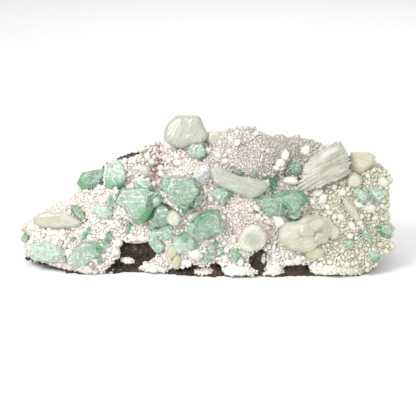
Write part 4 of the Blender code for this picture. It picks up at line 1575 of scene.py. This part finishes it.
@dataclass
class ApophylliteShards:
    """The small green crystals strewn between the large ones.

    Each gives across, up, length, width, lean, green and milk.
    """

    name: str = "apophyllite_shards"
    table: tuple[tuple[float, ...], ...] = (
        (-62.1, 23.4, 4.8, 2.2, 100, 0.4, 0.5), (-64.7, 21.3, 4.2, 2.2, 55, 0.2, 0.6),
        (-52.1, 20.3, 6.2, 3.0, 70, 0.6, 0.4), (-53.2, 16.4, 5.2, 3.6, 80, 0.2, 0.6),
        (-41.3, 25.3, 5.8, 2.4, 65, 0.6, 0.4), (-27.8, 21.6, 5.5, 3.2, 20, 0.15, 0.6),
        (-22.1, 24.6, 6.2, 3.0, -15, 0.3, 0.5), (-25.4, 15.2, 5.8, 3.8, -60, 0.3, 0.6),
        (-57.4, 9.7, 5.4, 2.6, -30, 0.2, 0.6), (-49.0, 7.0, 4.4, 2.4, 20, 0.2, 0.6),
        (16.3, 55.3, 6.2, 2.4, -25, 0.7, 0.3), (24.8, 53.7, 4.0, 2.6, 0, 0.6, 0.4),
        (33.7, 49.0, 6.4, 2.4, 60, 1.0, 0.15), (36.3, 51.1, 5.0, 2.2, 82, 1.2, 0.1),
        (35.0, 46.2, 6.0, 2.2, 72, 0.6, 0.3), (31.2, 51.6, 4.4, 2.0, 20, 1.0, 0.15),
        (80.2, 51.0, 5.4, 2.8, 50, 0.3, 0.6), (75.3, 17.1, 5.8, 3.4, 80, 0.25, 0.6),
        (87.9, 10.3, 6.2, 4.2, -50, 0.2, 0.65), (-95.6, 20.0, 4.6, 3.4, 60, 0.4, 0.5),
        (7.4, 13.2, 5.4, 2.8, 32, 0.25, 0.6), (3.6, 16.4, 5.0, 3.0, 60, 0.3, 0.6),
        (84.6, 45.6, 4.2, 2.6, 10, 0.3, 0.6), (85.6, 38.6, 4.4, 2.8, -40, 0.2, 0.6),
        (18.2, 9.0, 4.2, 2.4, -20, 0.3, 0.5), (-70.6, 19.4, 3.4, 2.0, 15, 0.8, 0.3),
    )

    def build(self, ground: Ground, finish: bpy.types.Material) -> bpy.types.Object:
        """Carves the crystals, each half sunk in the bed.

        Args:
            ground: The bed that they stand on.
            finish: Their material.

        Returns:
            The piece.
        """
        prisms = tuple(
            Prism(
                across, up, ground.depth(across, up) - 0.25 * width, length, width, width * 0.9,
                lean, toward=14, roll=20 + 7 * i, point=width * 0.45, apex=width * 0.3,
                deep=1, green=green, milk=milk,
            )
            for i, (across, up, length, width, lean, green, milk) in enumerate(self.table)
        )
        members = [prism.carve() for prism in prisms]
        piece = join(members[0], members[1:])
        piece.name = piece.data.name = self.name
        ApophylliteCluster(self.name, prisms, edge=0.04).mark(piece)
        deliver(piece, Mineral.APOPHYLLITE, finish)
        return piece


# ---------------------------------------------------------------- stilbite

PEBBLE_SIDES = 8
PEBBLE_SWELL = 0.53
FACE_VOXEL = 0.34 * MM
STRIATIONS = ((0.9, 0.4, 0.08), (3.2, 1.0, 0.3))


def pebble(wide: float, high: float, lean: float = 0.0) -> Rim:
    """An eight-sided rim, wide by high millimetres, leaning by lean degrees."""
    turn = math.radians(lean)
    rim = []
    for step in range(PEBBLE_SIDES):
        angle = math.tau * (step + 0.5) / PEBBLE_SIDES
        a = wide * PEBBLE_SWELL * math.cos(angle)
        b = high * PEBBLE_SWELL * math.sin(angle)
        along = a * math.cos(turn) - b * math.sin(turn)
        rim.append((along, a * math.sin(turn) + b * math.cos(turn)))
    return tuple(rim)


FAN_RIM: Rim = (
    (-12.1, -4.5), (-11.8, 0.3), (-11, 2.9), (-7.9, 6.6), (-4.7, 8.7), (6.3, 8.7), (7.9, 7.6),
    (9.5, 3.4), (12.1, -1.8), (11, -4.5), (7.9, -7.1), (2.1, -7.6), (-1.6, -9.2), (-6, -8.4),
    (-9.5, -6.8),
)
CURVED_RIM: Rim = (
    (-15.8, 7.9), (-12.1, 8.7), (-7.9, 6.8), (-1.6, 3.9), (5.3, 2.6), (11.6, 0.8), (16.3, -0.5),
    (14.7, -3.7), (10, -7.4), (5.3, -8.7), (-1.1, -5.8), (-7.9, -3.4), (-13.7, -0.5), (-15.3, 3.7),
)
SHEAF_RIM: Rim = (
    (-15.0, -10.9), (-12.2, -6.3), (-11.2, -0.7), (-7.8, 3.7), (-0.7, 9.0), (4.5, 12.0),
    (10.6, 12.8), (13.8, 6.3), (13.8, -1.5), (10.6, -5.1), (1.0, -9.4), (-7.8, -13.2),
    (-14.4, -14.0),
)
WEDGE_RIM: Rim = (
    (-6.6, 6.1), (4, 5.8), (7.4, 3.2), (5.8, 0), (4, -2.5), (-1.7, -7.1), (-6.8, -4.2),
)
SHIELD_RIM: Rim = (
    (-7.6, -1.3), (-3.9, 5.8), (0.8, 7.4), (4.6, 7.1), (7.4, 2.9), (7.6, -1.3), (5.5, -5.6),
    (-1, -7.7), (-6.3, -6),
)
LOBED_RIM: Rim = (
    (-13.3, -2.1), (-12.4, 3.2), (-9.1, 6.4), (-2.5, 6.9), (1.3, 10.2), (6.8, 9.7), (12.5, 9.3),
    (15.8, 5.5), (15.3, -1.1), (9.2, -4.8), (4.1, -10), (-4.4, -9.1), (-11, -5.8),
)
BLADE_RIM: Rim = (
    (-13.5, 0.3), (-9.9, 3.9), (-5.1, 4.8), (3.9, 3.7), (8.8, 2.1), (13.7, -1.5), (10.6, -3.9),
    (5.2, -4.5), (-1.4, -5.1), (-8.7, -3.9), (-12, -2.1),
)
LEAF_RIM: Rim = (
    (-4.6, -1.6), (-3.0, 2.8), (0.4, 4.6), (3.6, 3.4), (4.8, 0.2), (3.0, -3.2), (-0.6, -4.4),
)
SLAB_RIM: Rim = ((-4.8, -2.6), (-3.4, 2.4), (2.6, 3.6), (5.0, 1.0), (3.8, -3.2), (-1.2, -4.0))
PLATE_RINGS = ((0.8, -1.0), (0.99, -0.45), (1.0, 0.2), (0.95, 0.62), (0.8, 0.9), (0.52, 1.0))
PEBBLE_RINGS = ((0.7, -1.0), (1.0, -0.35), (0.98, 0.3), (0.72, 0.85), (0.35, 1.0))


@dataclass
class Plate:
    """One flat stilbite crystal with a crowned face, in millimetres and degrees.

    outline is its rim as the viewer sees it, grain the lean of its striations, and strip the
    width of the blades that it splits into, 0 for a smooth face. fan is how far they spread and
    relief how deep the striations are. grey, yellow and heart tint it, heart only in its middle.
    """

    across: float
    up: float
    y: float
    outline: Rim
    thick: float
    turn: float = 0
    nod: float = 0
    grain: float = 0
    strip: float = 0
    fan: float = 0
    grey: float = 0.0
    yellow: float = 0.0
    heart: float = 0.0
    relief: float = 1.0

    def body(self) -> bpy.types.Object:
        """Stacks the rim to a crowned face, with its striations along X, and roughens it.

        Each pass of striations has its size and depth in millimetres, and how far the face is
        squeezed along X meanwhile, which draws its lumps out to lines.
        """
        small = len(self.outline) == PEBBLE_SIDES
        half = self.thick / 2 * MM
        turn = Matrix.Rotation(math.radians(-self.grain), 2)
        rim = [turn @ Vector(p) * MM for p in self.outline]
        rings = PEBBLE_RINGS if small else PLATE_RINGS
        made = stacked(rim, [(share, 0, 0, height * half) for share, height in rings])
        with at_the_mesh(made):
            bpy.ops.mesh.bevel(
                offset=(0.4 if small else 0.7) * MM, segments=1, affect="EDGES", clamp_overlap=True
            )
            bpy.ops.mesh.quads_convert_to_tris()
            bpy.ops.mesh.subdivide(number_cuts=1, smoothness=0.35 if small else 0.1)
        if not small:
            finish_with(made, "REMESH", mode="VOXEL", voxel_size=FACE_VOXEL)
            finish_with(made, "SMOOTH", factor=0.5, iterations=2)
        for size, depth, squeeze in STRIATIONS:
            settle(made, Matrix.Diagonal((squeeze, 1, 1, 1)))
            finish_with(
                made, "DISPLACE", texture=cloudy("striations", size * MM), texture_coords="LOCAL",
                direction="Z", strength=depth * self.relief * MM, mid_level=0.5,
            )
            settle(made, Matrix.Diagonal((1 / squeeze, 1, 1, 1)))
        hold(made)
        bpy.ops.object.shade_smooth_by_angle(angle=SMOOTH_ANGLE)
        return made

    def blades(self, forms: Sequence[Form], chance: random.Random) -> bpy.types.Object | None:
        """The long blades that lie on the face, each as long as the rim is there.

        Args:
            forms: The blade's shapes, one unit a side.
            chance: Where the variation comes from.

        Returns:
            The blades in one mesh, or None on a smooth face.
        """
        if not self.strip:
            return None
        turn = Matrix.Rotation(math.radians(-self.grain), 2)
        rim = [turn @ Vector(p) for p in self.outline]
        low, high = min(p.y for p in rim), max(p.y for p in rim)
        at = low + self.strip * 0.6
        copies = []
        while at < high - self.strip * 0.4:
            wide = self.strip * chance.uniform(0.6, 1.4)
            ends = []
            for p, q in zip(rim, rim[1:] + rim[:1]):
                if (p.y - at) * (q.y - at) < 0:
                    ends.append(p.x + (q.x - p.x) * (at - p.y) / (q.y - p.y))
            if len(ends) >= 2:
                left, right = min(ends), max(ends)
                off = 2 * (at - (low + high) / 2) / (high - low)
                long = (right - left) * chance.uniform(0.86, 1.0)
                middle = (left + right) / 2 + chance.uniform(-0.04, 0.04) * (right - left)
                deep = self.thick * chance.uniform(0.5, 0.62)
                top = self.thick / 2 * (1.03 - 0.3 * off * off) + chance.uniform(-0.2, 0.2)
                place = (
                    Matrix.Translation(Vector((middle, at, top - deep / 2)) * MM)
                    @ Matrix.Rotation(math.radians(self.fan * off + chance.uniform(-2, 2)), 4, "Z")
                    @ Matrix.Rotation(math.radians(chance.uniform(-6, 6) - 12 * off), 4, "X")
                    @ Matrix.Diagonal((long * MM, wide * 1.2 * MM, deep * MM, 1))
                )
                copies.append((chance.randrange(len(forms)), place, (0, 0)))
            at += wide
        return joined_copies("blades", forms, copies, "grain")

    def carve(self, forms: Sequence[Form], chance: random.Random) -> bpy.types.Object:
        """Makes the crystal in its place, with its own lengthwise places kept as strand.

        Args:
            forms: The blade's shapes.
            chance: Where the variation comes from.

        Returns:
            The crystal.
        """
        made = self.body()
        blades = self.blades(forms, chance)
        if blades:
            join(made, [blades])
        mesh = made.data
        own = np.array([v.co for v in mesh.vertices]) / MM
        reach = max(math.hypot(a, b) for a, b in self.outline)
        middle = np.clip(1.5 - 2.6 * np.hypot(own[:, 0], own[:, 1]) / reach, 0, 1)
        cast = np.column_stack(
            [self.grey + self.heart * middle, np.full(len(own), self.yellow), np.zeros(len(own))]
        )
        for name, values in (("strand", own + (self.across, self.up, 0)), ("cast", cast)):
            mesh.attributes.new(name, "FLOAT_VECTOR", "POINT")
            mesh.attributes[name].data.foreach_set("vector", values.ravel())
        place = Matrix.Translation(VIEW.place(self.across, self.up, self.y))
        grain = Matrix.Rotation(math.radians(self.grain), 4, "Z")
        settle(made, place @ VIEW.plate_frame(self.turn, self.nod) @ grain)
        return made


@dataclass
class StilbiteGroup:
    """The stilbite crystals of one grown-together group."""

    name: str
    plates: tuple[Plate, ...]

    @staticmethod
    def blade_forms() -> list[Form]:
        """The shapes of a blade: a long box with pointed ends and soft edges."""
        made = []
        for slant in (0.25, 0.45):
            blade = block("blade", (1, 1, 1))
            with at_the_mesh(blade):
                for side_x, side_y in ((1, 1), (1, -1), (-1, 1), (-1, -1)):
                    saw(
                        Vector((side_x * 0.5, 0.12 * side_x, 0.5)),
                        Vector((side_x * 4, side_y * slant * 2, slant)).normalized(),
                    )
                for side_y in (1, -1):
                    saw(Vector((0, side_y * 0.36, 0.5)), Vector((0, side_y, 0.8)).normalized())
                bpy.ops.mesh.select_all(action="SELECT")
                bpy.ops.mesh.remove_doubles(threshold=0.001)
                bpy.ops.mesh.normals_make_consistent(inside=False)
            made.append(Form.of(blade))
        return made

    def build(self, forms: Sequence[Form], finish: bpy.types.Material) -> bpy.types.Object:
        """Makes the group in one piece.

        Args:
            forms: The blade's shapes.
            finish: The stilbite's material.

        Returns:
            The piece.
        """
        chance = random.Random(self.name)
        members = [plate.carve(forms, chance) for plate in self.plates]
        piece = join(members[0], members[1:]) if len(members) > 1 else members[0]
        piece.name = piece.data.name = f"{self.name}_crystal"
        deliver(piece, Mineral.STILBITE, finish)
        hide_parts(self.name)
        return piece


STILBITES = (
    StilbiteGroup("stilbite_fan_crest", (
        Plate(-11.1, 76.3, 1, FAN_RIM, 7, -8, -6, grain=62, fan=10, grey=0.75, relief=0.7),)),
    StilbiteGroup("stilbite_bud_crest", (
        Plate(5.4, 72, 1, pebble(13.2, 9.6, -22), 6, 10, grain=20, relief=0.6),)),
    StilbiteGroup("stilbite_curved_blade", (
        Plate(17.4, 49.2, -18.9, CURVED_RIM, 6.5, 4, -10, grain=-22, grey=0.75),)),
    StilbiteGroup("stilbite_sheaf", (
        Plate(61.1, 57.6, -9.8, SHEAF_RIM, 9.5, 6, -8, grain=30, strip=1.35, fan=5),)),
    StilbiteGroup("stilbite_wedge", (
        Plate(81.8, 59.6, -3, WEDGE_RIM, 7, -10, -6, grain=-20, yellow=0.7),)),
    StilbiteGroup("stilbite_below_wedge", (
        Plate(77.4, 50.3, -10.8, pebble(8.5, 8, 20), 5.5, 8, grain=30, yellow=0.3),)),
    StilbiteGroup("stilbite_shield", (
        Plate(23.7, 20.3, -31.9, SHIELD_RIM, 6, -10, 6, grain=60, heart=0.9, relief=0.6),)),
    StilbiteGroup("stilbite_lobed", (
        Plate(50.5, 22.4, -30.1, LOBED_RIM, 9, 6, 4, grain=25, yellow=0.15, grey=0.1),
        Plate(57.6, 27.4, -32.6, pebble(10, 6.5, 20), 5.5, 6, -12, grain=40),
        Plate(66, 23.6, -27.8, pebble(6.5, 8.5, 10), 6, 20, grain=70),
        Plate(56.6, 12.4, -31.8, pebble(10.5, 7, 5), 5.5, 0, 12, grain=10, yellow=0.8),
        Plate(47.6, 18.6, -33.0, LEAF_RIM, 4.5, -8, 10, grain=30),
        Plate(52.4, 24.8, -33.6, SLAB_RIM, 4.0, 14, -6, grain=28),
        Plate(59.6, 21.0, -32.2, SLAB_RIM, 4.5, 24, 4, grain=34, grey=0.2),
        Plate(62.0, 26.6, -29.8, LEAF_RIM, 4.0, 26, -6, grain=60),)),
    StilbiteGroup("stilbite_left_blade", (
        Plate(
            -78.7, 29.7, -16, BLADE_RIM, 6, -6, -4, grain=-6, grey=0.3, yellow=0.35, relief=0.5,
        ),)),
    StilbiteGroup("stilbite_twin_foot", (
        Plate(-18.4, 13, -31.3, pebble(5.6, 7.5, -15), 5, grain=80, yellow=0.5),
        Plate(-16.2, 8, -32, pebble(4.6, 8.6, -12), 4.5, 0, 10, grain=75, yellow=0.9),)),
    StilbiteGroup("stilbite_block_centre", (
        Plate(-17.6, 30.8, -23.2, pebble(7.8, 9, 10), 6, -12, grain=60),)),
    StilbiteGroup("stilbite_right_sliver", (
        Plate(75.8, 35, -21.4, pebble(14.5, 4.8, -57), 4.5, 0, 5, grain=-57, yellow=0.2),)),
    StilbiteGroup("stilbite_block_left", (
        Plate(-33, 55.4, -6, pebble(5.6, 6.4, 30), 5.5, 15, grain=30),)),
)


@dataclass
class SmoothLobes:
    """The larger smooth white lobes that stand among the small crystals.

    Each gives across, up, wide, high and lean.
    """

    name: str = "heulandite_lobes"
    table: tuple[tuple[float, ...], ...] = (
        (-81.0, 22.9, 7.5, 3.8, 10), (-83.2, 19.6, 4.2, 6.4, 5), (-79.8, 17.8, 4.6, 4.2, 30),
        (-77.4, 21.6, 4.6, 3.4, -20), (-88.6, 20.6, 3.0, 4.6, 20), (-34.7, 67.4, 5.0, 4.6, 0),
        (-31.2, 63.2, 3.6, 5.8, 10), (-7.4, 31.6, 7.4, 4.6, 30), (-6.6, 11.6, 7.4, 5.6, 0),
        (-38.9, 19.8, 4.6, 4.0, 0), (-34.5, 20.4, 4.4, 4.8, 20), (-48.6, 13.0, 5.0, 4.8, 20),
        (-46.0, 10.2, 4.4, 3.6, -10), (-42.6, 8.8, 7.0, 3.0, -6), (-31.8, 5.4, 5.4, 4.2, 20),
        (-28.6, 3.8, 6.6, 3.6, -4), (40.9, 63.4, 4.6, 6.0, -25), (38.6, 59.6, 5.0, 5.6, -30),
        (36.6, 57.0, 4.0, 3.6, 0),
        (44.2, 50.4, 9.0, 5.2, -8), (52.1, 66.0, 5.8, 5.2, 35), (57.9, 43.9, 6.4, 5.0, 10),
        (55.2, 39.2, 4.4, 4.2, 0), (60.8, 40.4, 5.2, 6.0, -20), (71.1, 44.2, 5.0, 4.0, 30),
        (79.5, 37.4, 5.2, 4.2, 0), (85.6, 35.6, 6.6, 5.2, 12), (38.2, 28.6, 5.6, 7.2, 10),
        (76.3, 26.4, 4.2, 5.4, 20), (75.2, 21.0, 4.2, 4.0, 0), (92.4, 49.4, 5.6, 5.4, 30),
        (70.4, 31.2, 4.4, 4.2, -20), (64.4, 33.4, 3.8, 3.4, 0), (-29.2, 60.2, 4.4, 3.6, -30),
        (-90.6, 26.2, 4.0, 3.4, 10), (-12.4, 7.4, 4.2, 3.4, 0), (88.2, 30.6, 4.4, 3.8, 40),
        (81.0, 31.4, 3.8, 3.4, 0), (9.2, 60.4, 4.4, 3.4, 20), (25.6, 75.0, 4.2, 2.8, 10),
        (-69.4, 27.0, 3.6, 3.2, 0), (66.8, 46.8, 4.4, 3.6, 35), (48.4, 9.6, 4.4, 4.0, 0),
    )

    def build(self, ground: Ground, finish: bpy.types.Material) -> bpy.types.Object:
        """Makes the lobes, each half sunk in the bed.

        Args:
            ground: The bed that they stand on.
            finish: Their material.

        Returns:
            The piece.
        """
        chance = random.Random(self.name)
        members = []
        for across, up, wide, high, lean in self.table:
            thick = min(wide, high) * chance.uniform(0.7, 0.95)
            rim = []
            for corner in pebble(wide, high, lean):
                swell = chance.uniform(0.78, 1.12)
                rim.append((corner[0] * swell, corner[1] * swell))
            side = max(0.0, min(1.0, (across - 25) / 40))
            plate = Plate(
                across, up, ground.depth(across, up) - 0.14 * thick, tuple(rim), thick,
                chance.uniform(-24, 24), chance.uniform(-20, 24), grain=chance.uniform(0, 180),
                grey=side * chance.uniform(0.2, 0.7),
                yellow=chance.uniform(0, 0.3) + side * 0.3, relief=1.3,
            )
            members.append(plate.carve((), chance))
        piece = join(members[0], members[1:])
        piece.name = piece.data.name = self.name
        deliver(piece, Mineral.HEULANDITE, finish)
        return piece


# ---------------------------------------------------------------- studio


@dataclass
class Studio:
    """A pale floor, soft lights and the camera.

    lamps gives each light's name, place, side in metres and power in watts.
    """

    floor: float = 3.0
    sky: float = 0.74
    lamps: tuple[tuple[str, Place, float, float], ...] = (
        ("key", (-0.36, -0.34, 0.5), 0.26, 2.8),
        ("fill", (0.42, -0.62, 0.42), 0.6, 1.6),
        ("rim", (0.1, 0.6, 0.6), 0.5, 1.2),
    )

    def build(self) -> None:
        """Lays the floor, hangs the lights and sets the camera."""
        bpy.ops.object.select_all(action="DESELECT")
        bpy.ops.mesh.primitive_circle_add(vertices=64, radius=self.floor, fill_type="NGON")
        floor = bpy.context.object
        floor.name = "floor"
        b = Bench("floor_finish")
        shade = b.noise(3, 2)
        colour = b.mix(shade.between(0.3, 0.7), tint(250, 250, 250), tint(252, 252, 252))
        floor.data.materials.append(b.done(b.surface(Base_Color=colour, Roughness=0.9)))
        world = bpy.data.worlds.new("studio")
        world.use_nodes = True
        sky = world.node_tree.nodes["Background"]
        sky.inputs["Color"].default_value = (1, 1, 1, 1)
        sky.inputs["Strength"].default_value = self.sky
        bpy.context.scene.world = world
        for lamp in self.lamps:
            self.lamp(*lamp)
        self.camera()

    def lamp(self, name: str, place: Place, size: float, power: float) -> None:
        """Hangs one square soft light that points at the specimen.

        Args:
            name: Its name.
            place: Where it hangs, in metres.
            size: Its side in metres.
            power: Its power in watts.
        """
        light = bpy.data.lights.new(name, "AREA")
        light.size = size
        light.energy = power
        lamp = bpy.data.objects.new(name, light)
        lamp.location = place
        aim = Vector((0, 0, 0.03)) - Vector(place)
        lamp.rotation_euler = aim.to_track_quat("-Z", "Y").to_euler()
        bpy.context.scene.collection.objects.link(lamp)

    def camera(self) -> None:
        """Sets the camera at the viewer's eye."""
        lens = bpy.data.cameras.new("camera")
        lens.lens = VIEW.lens
        lens.sensor_width = 36
        lens.sensor_fit = "HORIZONTAL"
        lens.clip_start = 0.01
        camera = bpy.data.objects.new("camera", lens)
        turn = Matrix((VIEW.across, VIEW.up, -VIEW.away)).transposed().to_4x4()
        camera.matrix_world = Matrix.Translation(VIEW.eye) @ turn
        bpy.context.scene.collection.objects.link(camera)
        bpy.context.scene.camera = camera
        bpy.context.scene.view_settings.view_transform = "Standard"


def main() -> None:
    """Builds the specimen from the rock out, then the studio."""
    logging.basicConfig(level=logging.INFO, format="%(name)s %(message)s")
    Studio().build()
    BasaltBase().build(BasaltFinish().dress())
    bed = HeulanditeBed().build(BedFinish().dress())
    ground = Ground([bed])
    wax = StilbiteFinish(
        name="lobe_finish", cream=tint(238, 236, 228), pale=tint(248, 247, 243),
        yellow=tint(232, 226, 200), grey=tint(222, 220, 212),
    ).dress()
    stood = [SmoothLobes().build(ground, wax)]
    green = ApophylliteFinish().dress()
    clear = ApophylliteFinish(
        name="clear_finish", pale=tint(250, 252, 252), mint=tint(238, 243, 243),
        deep=tint(206, 216, 216), clear_pale=tint(252, 254, 253), clear_deep=tint(246, 250, 248),
        fill=(0.96, 0.99, 0.98), density=10,
    ).dress()
    stood.append(ApophylliteShards().build(ground, green))
    for cluster in CLUSTERS:
        stood.append(cluster.build(clear if cluster.mineral is Mineral.CLEAR else green))
    forms = StilbiteGroup.blade_forms()
    pearl = StilbiteFinish().dress()
    stood += [group.build(forms, pearl) for group in STILBITES]
    HeulanditeDruse().build(bed, stood, DruseFinish().dress())
    bpy.context.view_layer.update()


if __name__ == "__main__":
    main()
